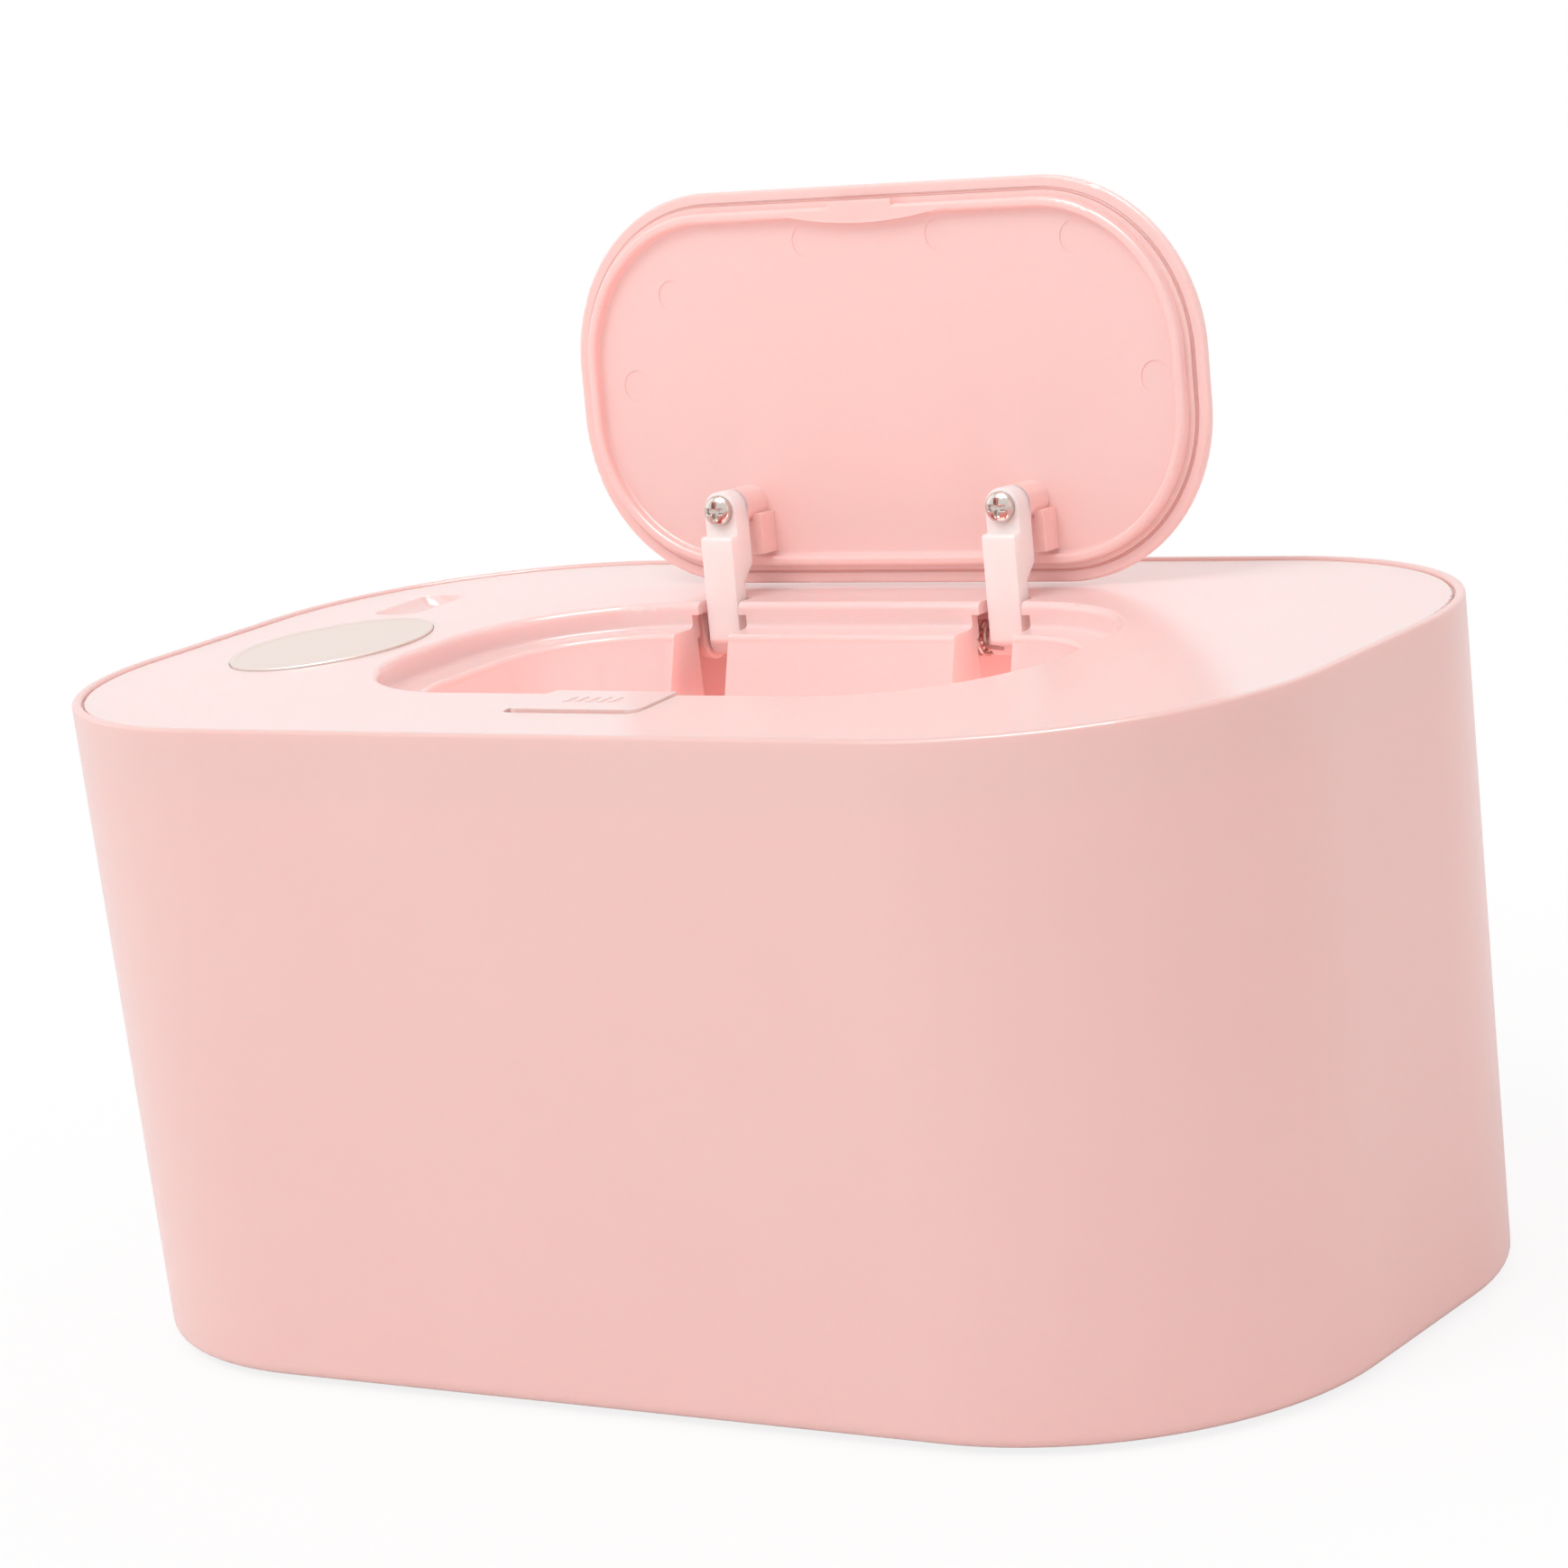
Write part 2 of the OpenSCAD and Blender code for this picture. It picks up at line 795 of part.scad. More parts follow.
// The moulded walls: the cover's edge, the recess wall and the skirt round the opening
module cover_walls() {
    body_loop()
        rounded_profile([
            [-cover_inset, flange_top_z, 0],
            [-cover_inset, deck_z, 0.4],
            [-deck_join, deck_z, 0],
            [-deck_join, deck_under_z, 0],
            [-cover_inset - cover_wall, deck_under_z, 0.8],
            [-cover_inset - cover_wall, flange_top_z, 0]
        ]);
    translate([0, -lid_forward, 0])
        rounded_loop(recess_length, recess_depth, recess_radius)
            rounded_profile([
                [rim_join, deck_z, 0],
                [0, deck_z, recess_rim_fillet],
                [0, ledge_z, 0.8],
                [-ledge_join, ledge_z, 0],
                [-ledge_join, ledge_under_z, 0],
                [cover_wall, ledge_under_z, 0.8],
                [cover_wall, deck_under_z, 0.6],
                [rim_join, deck_under_z, 0]
            ]);
    translate([0, -opening_forward, 0])
        rounded_loop(opening_length, opening_depth, opening_radius)
            rounded_profile([
                [ledge_join, ledge_z, 0],
                [0, ledge_z, 0.8],
                [0, ledge_z - skirt_lip, 0],
                [-skirt_lean, skirt_z, 0],
                [cover_wall - skirt_lean, skirt_z, 0],
                [cover_wall, ledge_under_z, 0],
                [ledge_join, ledge_under_z, 0]
            ]);
}

// One ear that hangs under the deck and holds the hinge pin
module hinge_cheek(x) {
    translate([x, hinge_back, 0])
        rotate([90, 0, 90])
            linear_extrude(cheek_thickness) {
                translate([0, hinge_z]) circle(cheek_radius);
                translate([-cheek_radius, hinge_z])
                    square([2 * cheek_radius, deck_under_z + clear - hinge_z]);
            }
}

// The wall beside an arm's slot, from the leaning skirt to the hinge
module slot_flange(x) {
    front = opening_rear + cover_wall / 2;
    translate([x, 0, 0])
        rotate([90, 0, 90])
            linear_extrude(flange_wall + 1)
                polygon([
                    [front, ledge_under_z + ledge_thickness / 2],
                    [front - skirt_lean, skirt_z],
                    [opening_rear + flange_reach, skirt_z],
                    [opening_rear + flange_reach, ledge_under_z],
                    [recess_rear, ledge_under_z + ledge_thickness / 2]
                ]);
}

// The wall behind the hinge, which closes the space that the arms' slots open into
module hinge_box() {
    translate([-hinge_box_half, hinge_back + cheek_radius + hinge_box_gap, skirt_z])
        cube([2 * hinge_box_half, hinge_box_wall, deck_under_z + clear - skirt_z]);
}

module top_cover() {
    color("#fbe3df")
        difference() {
            union() {
                cover_plates();
                cover_walls();
                hinge_box();
                for (x = [-arm_spread, arm_spread]) {
                    slot_flange(x + slot_half - 1);
                    slot_flange(x - slot_half - flange_wall);
                }
                for (side = [0, 1])
                    mirror([side, 0, 0]) {
                        hinge_cheek(arm_spread + cheek_outer);
                        hinge_cheek(arm_spread - cheek_inner - cheek_thickness);
                    }
                at_bracket_screws()
                    translate([0, 0, bracket_ear_z + bracket_wall])
                        cylinder(r = 3, h = deck_under_z - bracket_ear_z);
                intersection() {
                    scoop(1.6);
                    translate([scoop_x, scoop_y, deck_z - 10])
                        cube([40, 40, 20 - clear], center = true);
                }
            }
            scoop(0);
            for (x = [-arm_spread, arm_spread]) {
                translate([x - slot_half, opening_rear - 12, skirt_z - clear])
                    cube([
                        2 * slot_half,
                        slot_rear - opening_rear + 12,
                        ledge_z + notch_height - skirt_z + clear
                    ]);
                translate([x - arm_width / 2 - arm_gap, opening_rear - 12, ledge_z])
                    cube([arm_width + 2 * arm_gap, slot_rear - opening_rear + 12, 20]);
            }
            translate([-pin_end - clear, hinge_back, hinge_z])
                rotate([0, 90, 0])
                    cylinder(d = pin_diameter + 2 * pin_seated, h = 2 * (pin_end + clear));
            translate([0, 0, deck_under_z - clear])
                linear_extrude(20)
                    button_hole(button_front - button_length, recess_front - cover_wall - 0.1);
            translate([0, 0, button_under_z - fit_gap])
                linear_extrude(20)
                    button_hole(recess_front - cover_wall - 0.2, button_rear + button_length);
            translate([
                -latch_width / 2 - button_gap, recess_front - cover_wall - clear,
                latch_z - button_gap
            ])
                cube([latch_width + 2 * button_gap, cover_wall + 2 * clear, 20]);
            at_bracket_screws()
                translate([0, 0, bracket_ear_z])
                    cylinder(d = 1.8, h = 6);
            translate([badge_x, badge_y, deck_z - badge_seat])
                badge_shape(0.15, 10);
        }
}

// An oval of four true arcs, longer along Y and grown by a gap: two end circles and, between
// the points where they touch, the overlap of two large circles
module badge_shape(grown, height) {
    half_wide = badge_width / 2 + grown;
    end_radius = 0.73 * badge_width / 2 + grown;
    end_y = badge_length / 2 + grown - end_radius;
    radius = (half_wide * half_wide + end_y * end_y - end_radius * end_radius)
        / (2 * (half_wide - end_radius));
    touch_y = end_y * radius / (radius - end_radius);
    linear_extrude(height) {
        for (side = [-1, 1])
            translate([0, side * end_y]) circle(end_radius);
        intersection() {
            translate([half_wide - radius, 0]) circle(radius, $fn = 128);
            translate([radius - half_wide, 0]) circle(radius, $fn = 128);
            square([2 * half_wide, 2 * touch_y], center = true);
        }
    }
}

module cover_badge() {
    color("#ead9cf")
        translate([badge_x, badge_y, deck_z - badge_seat])
            badge_shape(0, badge_thickness);
}

module hinge_pin() {
    color("#c9c9c9")
        translate([-pin_end, hinge_back, hinge_z])
            rotate([0, 90, 0]) {
                cylinder(d = pin_diameter, h = 2 * pin_end + 1.5);
                translate([0, 0, -1]) cylinder(d = pin_diameter + 2, h = 1);
            }
}

module hinge_pin_clip() {
    color("#9a9a9a")
        translate([pin_end, hinge_back, hinge_z])
            rotate([0, 90, 0])
                difference() {
                    cylinder(d = pin_diameter + 3, h = 0.8);
                    translate([0, 0, -clear])
                        cylinder(d = pin_diameter + 2 * pin_seated, h = 4);
                }
}

// A round wire swept along points, as one closed mesh. The coil's axis steadies its rings.
module wire(points, radius, sides, axis) {
    last = len(points) - 1;
    ring = [
        for (i = [0:last])
            let (
                along = towards(points[max(i - 1, 0)], points[min(i + 1, last)]),
                side = towards([0, 0, 0], cross(axis, along)),
                other = cross(along, side)
            )
            for (k = [0:sides - 1])
                points[i]
                    + radius * (cos(360 * k / sides) * side + sin(360 * k / sides) * other)
    ];
    polyhedron(
        ring,
        [
            [for (k = [0:sides - 1]) k],
            [for (k = [sides - 1:-1:0]) last * sides + k],
            for (i = [0:last - 1], k = [0:sides - 1])
                let (
                    a = i * sides + k,
                    b = i * sides + (k + 1) % sides
                )
                each [[a, a + sides, b], [b, a + sides, b + sides]]
        ]
    );
}

// A torsion spring round the hinge pin. One leg bears on the underside of the deck behind the
// pin and the other under the arm's foot, so that it pushes the lid open.
module hinge_spring(side) {
    turns = 3.25;
    steps = 16;
    thickness = 0.7;
    coil = pin_diameter / 2 + 1.2;
    start = arm_spread - slot_half - thickness;
    pitch = (cheek_inner - slot_half - 2 * thickness) / turns;
    deck_leg_z = deck_under_z - hinge_z - thickness / 2;
    foot_leg_z = -foot_drop - thickness / 2;
    deck_leg_reach = cheek_radius + hinge_box_gap - 2 * fit_gap;
    coil_points = [
        for (i = [0:turns * steps])
            let (angle = 90 + 360 * i / steps)
            [start - pitch * (turns - i / steps), coil * cos(angle), coil * sin(angle)]
    ];
    first = coil_points[0];
    final = coil_points[len(coil_points) - 1];
    color("#b8bcc0")
        mirror([side < 0 ? 1 : 0, 0, 0])
            translate([0, hinge_back, hinge_z])
                wire(
                    concat(
                        [
                            [first.x, deck_leg_reach, deck_leg_z],
                            [first.x, 3, deck_leg_z],
                            [first.x, 1.5, (deck_leg_z + 3 * coil) / 4]
                        ],
                        coil_points,
                        [
                            [final.x + 0.1, final.y - 0.35, foot_leg_z + 0.2],
                            [final.x + 0.9, final.y - 1, foot_leg_z],
                            [final.x + slot_gap + 2.4, final.y - 2.6, foot_leg_z]
                        ]
                    ),
                    thickness / 2,
                    6,
                    [1, 0, 0]
                );
}

module latch_bracket() {
    length = bracket_rear - bracket_front;
    ear_top_z = bracket_ear_z + bracket_wall;
    color("#f0beb8")
        difference() {
            union() {
                translate([-bracket_cheek - bracket_wall, bracket_front, bracket_floor_z])
                    cube([2 * (bracket_cheek + bracket_wall), length, bracket_wall]);
                for (side = [0, 1])
                    mirror([side, 0, 0]) {
                        translate([bracket_cheek, bracket_front, bracket_floor_z])
                            cube([bracket_wall, length, ear_top_z - bracket_floor_z]);
                        translate([bracket_cheek, bracket_screw_y - 4, bracket_ear_z])
                            cube([bracket_screw_x + 3.5 - bracket_cheek, 8, bracket_wall]);
                    }
                translate([0, button_spring_y, bracket_floor_z])
                    cylinder(r = 1.4, h = bracket_wall + 2);
            }
            translate([-30, button_pivot_y, button_pivot_z])
                rotate([0, 90, 0])
                    cylinder(d = button_pin_diameter + 2 * pin_seated, h = 60);
            at_bracket_screws()
                translate([0, 0, bracket_ear_z - clear])
                    cylinder(d = 2.6, h = bracket_wall + 2 * clear);
        }
}

module latch_bracket_screws() {
    color("#c9c9c9")
        at_bracket_screws()
            translate([0, 0, bracket_ear_z])
                pan_screw(1.8, 6, 4, 1.4);
}

module button_pin() {
    reach = bracket_cheek + bracket_wall + 0.6;
    color("#c9c9c9")
        translate([-reach, button_pivot_y, button_pivot_z])
            rotate([0, 90, 0])
                cylinder(d = button_pin_diameter, h = 2 * reach);
}

// The coil spring that lifts the button's front end, over the peg on the bracket
module button_spring() {
    turns = 6;
    steps = 12;
    thickness = 0.6;
    coil = 2.2;
    low_z = bracket_floor_z + bracket_wall + thickness / 2;
    high_z = button_under_z - thickness / 2;
    color("#b8bcc0")
        translate([0, button_spring_y, low_z])
            wire(
                [
                    for (i = [0:turns * steps])
                        let (angle = 360 * i / steps, share = i / (turns * steps))
                        [coil * cos(angle), coil * sin(angle), (high_z - low_z) * share]
                ],
                thickness / 2,
                6,
                [0, 0, 1]
            );
}

module release_button() {
    web_low = button_pivot_z;
    rib_pitch = 2.1;
    color("#f8d3ce")
        difference() {
            union() {
                translate([0, 0, button_under_z])
                    linear_extrude(button_thickness)
                        button_outline(0, 0);
                for (i = [0:grip_ribs - 1])
                    translate([
                        (i - (grip_ribs - 1) / 2) * rib_pitch - 0.4,
                        button_front + button_length / 2 - 1.5,
                        button_top_z - 0.1
                    ])
                        cube([0.8, 3, 0.3]);
                for (side = [0, 1])
                    mirror([side, 0, 0])
                        translate([web_inner, 0, 0])
                            rotate([90, 0, 90])
                                linear_extrude(web_thickness) {
                                    translate([button_pivot_y, button_pivot_z])
                                        circle(button_barrel);
                                    polygon([
                                        [button_pivot_y + 0.6, button_pivot_z],
                                        [button_pivot_y + 0.6, button_under_z + 0.5],
                                        [button_front + 3, button_under_z + 0.5],
                                        [button_pivot_y - button_barrel, button_pivot_z]
                                    ]);
                                }
                translate([-web_inner - 0.1, button_pivot_y, button_pivot_z])
                    rotate([0, 90, 0])
                        cylinder(r = button_barrel, h = 2 * web_inner + 0.2);
                translate([-latch_width / 2, button_pivot_y - 3, latch_z])
                    cube([latch_width, latch_tip - button_pivot_y + 3, latch_thickness]);
                translate([-latch_width / 2, button_pivot_y - 3, latch_z])
                    cube([latch_width, 3.4, button_under_z - latch_z + 0.5]);
            }
            translate([-30, button_pivot_y, button_pivot_z])
                rotate([0, 90, 0])
                    cylinder(d = button_pin_diameter + 2 * pin_running, h = 60);
        }
}

module lid_shell() {
    color("#f7c6c1")
        opened() {
            lid_loop()
                rounded_profile([
                    [0, lip_z, 0.5],
                    [0, lid_top_z, lid_top_fillet],
                    [-panel_join, lid_top_z, 0],
                    [-panel_join, liner_top_z, 0],
                    [-lip_width, liner_top_z, 0],
                    [-lip_width, lip_z, 0.4]
                ]);
            translate([0, 0, liner_top_z])
                linear_extrude(lid_wall)
                    lid_outline(panel_join);
        }
}

module lid_liner() {
    edge_inset = lip_width + fit_gap;
    front = -lid_forward - lid_depth / 2 + ridge_inset;
    ridge_inner = ridge_inset + ridge_width;
    ear_top_z = hinge_z + ear_high;
    color("#fbc6c0")
        opened()
            difference() {
                union() {
                    lid_loop()
                        rounded_profile([
                            [-edge_inset, panel_z, 0],
                            [-edge_inset, liner_top_z, 0],
                            [-panel_join, liner_top_z, 0],
                            [-panel_join, panel_z, 0],
                            [-ridge_inner, panel_z, 0.5],
                            [-ridge_inner, ridge_z, 0.6],
                            [-ridge_inset, ridge_z, 0.6],
                            [-ridge_inset, panel_z, 0]
                        ]);
                    translate([0, 0, panel_z])
                        linear_extrude(lid_wall)
                            lid_outline(panel_join);
                    for (x = [-arm_spread, arm_spread]) {
                        translate([x, hinge_back - arm_reach, ear_top_z])
                            cylinder(r = boss_radius, h = panel_z - ear_top_z + lid_wall / 2);
                        translate([x + rib_side, hinge_back - arm_reach + rib_back, panel_z - rib_height])
                            cube([rib_width, rib_length, rib_height + lid_wall / 2]);
                    }
                    translate([-latch_width / 2, front - catch_reach, ridge_z])
                        cube([latch_width, catch_reach + ridge_width / 2, catch_height]);
                    intersection() {
                        translate([0, 0, ridge_z])
                            linear_extrude(panel_z - ridge_z + lid_wall / 2)
                                lid_outline(ridge_inset + ridge_width / 2);
                        translate([0, front + ridge_width + catch_swell - swell_radius, ridge_z])
                            cylinder(r = swell_radius, h = 4, $fn = 128);
                    }
                }
                for (x = [-arm_spread, arm_spread])
                    translate([x, hinge_back - arm_reach, ear_top_z - clear])
                        cylinder(d = screw_shank, h = 5 + clear);
                for (place = ejector_marks)
                    translate([place.x, place.y - lid_forward, panel_z - clear])
                        cylinder(r = ejector_radius, h = clear + 0.15);
            }
}

// A hinge arm: a barrel on the pin, a bar that passes the ledge, and a stepped ear for the screw
module hinge_arm(x) {
    width = arm_width;
    color("#f6dfda")
        opened()
            translate([x, hinge_back, hinge_z])
                difference() {
                    union() {
                        translate([-slot_half, 0, 0])
                            rotate([0, 90, 0])
                                cylinder(r = barrel_radius, h = 2 * slot_half);
                        translate([width / 2, 0, 0])
                            rotate([90, 0, -90])
                                linear_extrude(width)
                                    rounded_profile([
                                        [-foot_drop, 0, 0],
                                        [-foot_drop, bar_low, 1],
                                        [bar_end, bar_low, 0.7],
                                        [bar_end, ear_low, 0],
                                        [arm_reach, ear_low, 0],
                                        [arm_reach, ear_high, 0],
                                        [bar_end - 5, ear_high, 1],
                                        [bar_end - 5 - ear_high + bar_high, bar_high, 0],
                                        [barrel_radius, bar_high, 0],
                                        [barrel_radius, 0, 0]
                                    ]);
                        translate([0, -arm_reach, ear_low])
                            cylinder(r = ear_radius, h = ear_high - ear_low);
                    }
                    translate([-10, 0, 0])
                        rotate([0, 90, 0])
                            cylinder(d = pin_diameter + 2 * pin_running, h = 20);
                    translate([0, -arm_reach, ear_low - clear])
                        cylinder(d = screw_shank + 0.4, h = 10);
                }
}

module arm_screw(x) {
    color("#d9dbdd")
        opened()
            translate([x, hinge_back - arm_reach, hinge_z + ear_low])
                pan_screw(screw_shank, 7, screw_head, 1.8);
}

module hinge_arm_left() {
    hinge_arm(-arm_spread);
}

module hinge_arm_right() {
    hinge_arm(arm_spread);
}

module arm_screw_left() {
    arm_screw(-arm_spread);
}

module arm_screw_right() {
    arm_screw(arm_spread);
}

module hinge_spring_left() {
    hinge_spring(-1);
}

module hinge_spring_right() {
    hinge_spring(1);
}

outer_shell();
base_plate();
rubber_feet();
base_screws();
inner_tub();
heater_plate();
heater_film();
insulation_pad();
thermal_cutoff();
temperature_sensor();
control_board();
board_screws();
power_socket();
heater_leads();
top_cover();
cover_badge();
hinge_pin();
hinge_pin_clip();
hinge_spring_left();
hinge_spring_right();
latch_bracket();
latch_bracket_screws();
button_pin();
button_spring();
release_button();
lid_shell();
lid_liner();
hinge_arm_left();
hinge_arm_right();
arm_screw_left();
arm_screw_right();
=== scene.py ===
"""Looks for a baby wipe warmer: moulded pink ABS, milky nylon arms, nickel screws, foil badge.

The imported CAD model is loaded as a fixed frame. Each sub-assembly below is a class that builds
the pieces it adds and dresses its CAD nodes. All lengths are metres unless a name ends in _mm.
"""

import json
import logging
import math
from dataclasses import dataclass
from enum import Enum
from functools import cache

import bpy
import numpy as np
from mathutils import Matrix, Vector

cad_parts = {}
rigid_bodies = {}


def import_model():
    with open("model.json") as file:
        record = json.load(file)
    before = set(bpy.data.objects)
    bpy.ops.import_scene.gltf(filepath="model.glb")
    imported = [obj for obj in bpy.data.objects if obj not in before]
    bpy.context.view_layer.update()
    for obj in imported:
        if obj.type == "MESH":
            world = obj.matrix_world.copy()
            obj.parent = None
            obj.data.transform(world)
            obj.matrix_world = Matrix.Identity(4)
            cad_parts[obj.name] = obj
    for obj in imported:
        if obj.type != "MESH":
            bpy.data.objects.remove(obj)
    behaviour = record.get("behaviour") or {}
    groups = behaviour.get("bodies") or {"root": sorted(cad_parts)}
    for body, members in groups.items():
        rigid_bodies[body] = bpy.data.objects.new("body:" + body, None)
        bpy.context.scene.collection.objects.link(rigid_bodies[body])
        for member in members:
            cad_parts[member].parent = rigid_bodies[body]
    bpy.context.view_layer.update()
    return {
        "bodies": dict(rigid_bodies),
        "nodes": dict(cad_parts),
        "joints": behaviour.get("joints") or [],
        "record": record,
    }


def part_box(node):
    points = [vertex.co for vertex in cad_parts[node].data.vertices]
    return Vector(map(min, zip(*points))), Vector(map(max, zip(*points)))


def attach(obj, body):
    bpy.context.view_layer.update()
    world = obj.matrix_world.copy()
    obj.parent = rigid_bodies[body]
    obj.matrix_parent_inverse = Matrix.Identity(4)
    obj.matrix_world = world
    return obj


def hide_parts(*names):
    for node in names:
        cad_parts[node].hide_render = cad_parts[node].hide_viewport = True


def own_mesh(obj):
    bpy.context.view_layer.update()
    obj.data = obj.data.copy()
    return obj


LOG = logging.getLogger("wipe_warmer")
MM = 0.001
PICTURE_PIXELS = 1738
SENSOR_MM = 36.0
# Sockets of a Mix node that is set to colours, which share their names with others.
COLOUR_A, COLOUR_B, MIXED_COLOUR = 6, 7, 2


def linear(code: str) -> tuple[float, float, float, float]:
    """Turns an sRGB hex colour into linear RGBA.

    Args:
        code: Six hex digits, with or without a leading hash.

    Returns:
        The colour in linear light, with alpha 1.
    """
    digits = code.lstrip("#")
    encoded = [int(digits[i : i + 2], 16) / 255.0 for i in (0, 2, 4)]
    red, green, blue = [
        c / 12.92 if c <= 0.04045 else ((c + 0.055) / 1.055) ** 2.4 for c in encoded
    ]
    return red, green, blue, 1.0


def add_node(
    tree: bpy.types.NodeTree,
    kind: str,
    inputs: dict[object, object] | None = None,
    **settings: object,
) -> bpy.types.Node:
    """Adds one node, with its settings, its socket values and its links.

    Args:
        tree: The node tree it goes into.
        kind: Blender's name for the node type.
        inputs: Socket name or index against a value, or against the output socket to link.
        settings: Properties of the node itself, such as an operation.

    Returns:
        The new node.
    """
    node = tree.nodes.new(kind)
    for name, value in settings.items():
        setattr(node, name, value)
    for name, value in (inputs or {}).items():
        if isinstance(value, bpy.types.NodeSocket):
            tree.links.new(value, node.inputs[name])
        else:
            node.inputs[name].default_value = value
    return node


def empty_tree(owner: bpy.types.Material | bpy.types.World) -> bpy.types.NodeTree:
    """Turns on the owner's nodes and takes the ready-made ones out."""
    owner.use_nodes = True
    owner.node_tree.nodes.clear()
    return owner.node_tree


def new_object(name: str, data: bpy.types.ID) -> bpy.types.Object:
    """Makes an object for a mesh, a camera or a lamp and links it to the scene."""
    made = bpy.data.objects.new(name, data)
    bpy.context.scene.collection.objects.link(made)
    return made


def joint_named(frame: dict, name: str) -> dict:
    """Finds a joint of the frame by its name."""
    return next(joint for joint in frame["joints"] if joint["name"] == name)


class Carrier(Enum):
    """The bodies that pieces ride on."""

    BASE = "base"
    COVER = "cover"
    LID = "lid"
    BUTTON = "button"


class Slot(Enum):
    """The materials that a later user may swap, each shared by the pieces made of it."""

    SHELL = "shell_pink"
    COVER = "cover_pink"
    LID = "lid_pink"
    ARMS = "milky_nylon"
    SCREWS = "nickel_steel"
    SPRING = "spring_steel"
    BADGE = "badge_plate"


class Grain(Enum):
    """Which way a surface was worked, which decides how its fine pattern runs."""

    EVEN = (1.0, 1.0, 1.0)
    ALONG_X = (0.04, 1.0, 1.0)
    ALONG_Y = (1.0, 0.04, 1.0)


@dataclass(frozen=True)
class Finish:
    """A finish made of one principled shader, a colour drift, a fine grain and its relief.

    The colour drifts between two near tones over `drift_mm`, as pigment does in a moulding,
    and the surface has a relief of `grain_mm` pitch that also varies the roughness.
    """

    name: str
    colour: str
    second_colour: str
    roughness: float
    drift_mm: float = 30.0
    grain_mm: float = 0.6
    relief: float = 0.05
    relief_mm: float = 0.02
    roughness_spread: float = 0.04
    grain: Grain = Grain.EVEN
    metallic: float = 0.0
    ior: float = 1.5
    softness: float = 0.0
    softness_mm: tuple[float, float, float] = (3.0, 1.2, 0.9)
    coat: float = 0.0
    coat_roughness: float = 0.1
    see_through: float = 0.0
    sheen: float = 0.0

    def material(self) -> bpy.types.Material:
        """Builds the finish's material.

        Returns:
            A material whose patterns read Object coordinates in real millimetres.
        """
        material = bpy.data.materials.new(self.name)
        tree = empty_tree(material)
        place = add_node(tree, "ShaderNodeTexCoord").outputs["Object"]
        drift = add_node(
            tree,
            "ShaderNodeTexNoise",
            {"Vector": place, "Scale": 1.0 / (self.drift_mm * MM), "Detail": 3.0},
        )
        tone = add_node(
            tree,
            "ShaderNodeMix",
            {
                "Factor": drift.outputs["Fac"],
                COLOUR_A: linear(self.colour),
                COLOUR_B: linear(self.second_colour),
            },
            data_type="RGBA",
        )
        stretch = add_node(
            tree, "ShaderNodeMapping", {"Vector": place, "Scale": Vector(self.grain.value)}
        )
        grain = add_node(
            tree,
            "ShaderNodeTexNoise",
            {
                "Vector": stretch.outputs["Vector"],
                "Scale": 1.0 / (self.grain_mm * MM),
                "Detail": 2.0,
            },
        )
        gloss = add_node(
            tree,
            "ShaderNodeMapRange",
            {
                "Value": grain.outputs["Fac"],
                "To Min": self.roughness - self.roughness_spread,
                "To Max": self.roughness + self.roughness_spread,
            },
        )
        bump = add_node(
            tree,
            "ShaderNodeBump",
            {
                "Height": grain.outputs["Fac"],
                "Strength": self.relief,
                "Distance": self.relief_mm * MM,
            },
        )
        shader = add_node(
            tree,
            "ShaderNodeBsdfPrincipled",
            {
                "Base Color": tone.outputs[MIXED_COLOUR],
                "Roughness": gloss.outputs["Result"],
                "Normal": bump.outputs["Normal"],
                "Metallic": self.metallic,
                "IOR": self.ior,
                "Subsurface Weight": self.softness,
                "Subsurface Scale": MM,
                "Subsurface Radius": Vector(self.softness_mm),
                "Coat Weight": self.coat,
                "Coat Roughness": self.coat_roughness,
                "Transmission Weight": self.see_through,
                "Sheen Weight": self.sheen,
            },
        )
        add_node(tree, "ShaderNodeOutputMaterial", {"Surface": shader.outputs["BSDF"]})
        return material


# Mould grit, drawing lines, fibres and rolling lines lie 0.02 to 0.1 mm apart on the real
# pieces, which is too fine to show in the render. Each grain_mm is the finest pitch that shows.

# Injection-moulded ABS, satin: the shell's broad walls show a soft, wide highlight. Its base
# colour is set deeper than the deck's and the lid's, though all are one pink: painted shade on
# the walls, which face away from the light from above.
SATIN_ABS = Finish(
    "satin_pink_abs", "#F2C8C3", "#F0C4BF", 0.34, softness=0.3, ior=1.4, coat=0.4,
    coat_roughness=0.07,
)
# Injection-moulded ABS from a polished mould: the deck mirrors the open lid softly. Its base
# colour is paler than the shell's, though it is the same pink: painted light on the top, which
# faces the lamps.
POLISHED_ABS = Finish(
    "polished_pink_abs", "#F7DBD8", "#F6D8D5", 0.2, relief=0.02, roughness_spread=0.02,
    softness=0.5, softness_mm=(3.0, 1.1, 0.9), ior=1.42,
)
# Injection-moulded ABS, a little deeper in tone, of the lid's two halves. It is set paler than
# the shell, though it is the same pink: painted light on the lid.
LID_ABS = Finish(
    "lid_pink_abs", "#FED4D0", "#FDD2CD", 0.3, relief=0.02, roughness_spread=0.02, softness=0.3,
    softness_mm=(2.5, 1.0, 0.8),
)
# The lid's ABS in a deeper pink, for the bead that fills the seam between the lid's two halves:
# painted shade of the seam.
SEAM_SHADE_ABS = Finish(
    "seam_shade_pink_abs", "#F9B4AD", "#F7AFA8", 0.4, relief=0.02, softness=0.4,
    softness_mm=(2.5, 0.8, 0.6),
)
# Natural nylon: milky, lets some light through, so its edges glow.
MILKY_NYLON = Finish(
    "milky_nylon", "#FFF5F3", "#FEF1EE", 0.36, relief=0.02, softness=0.7,
    softness_mm=(3.0, 2.4, 2.1),
)
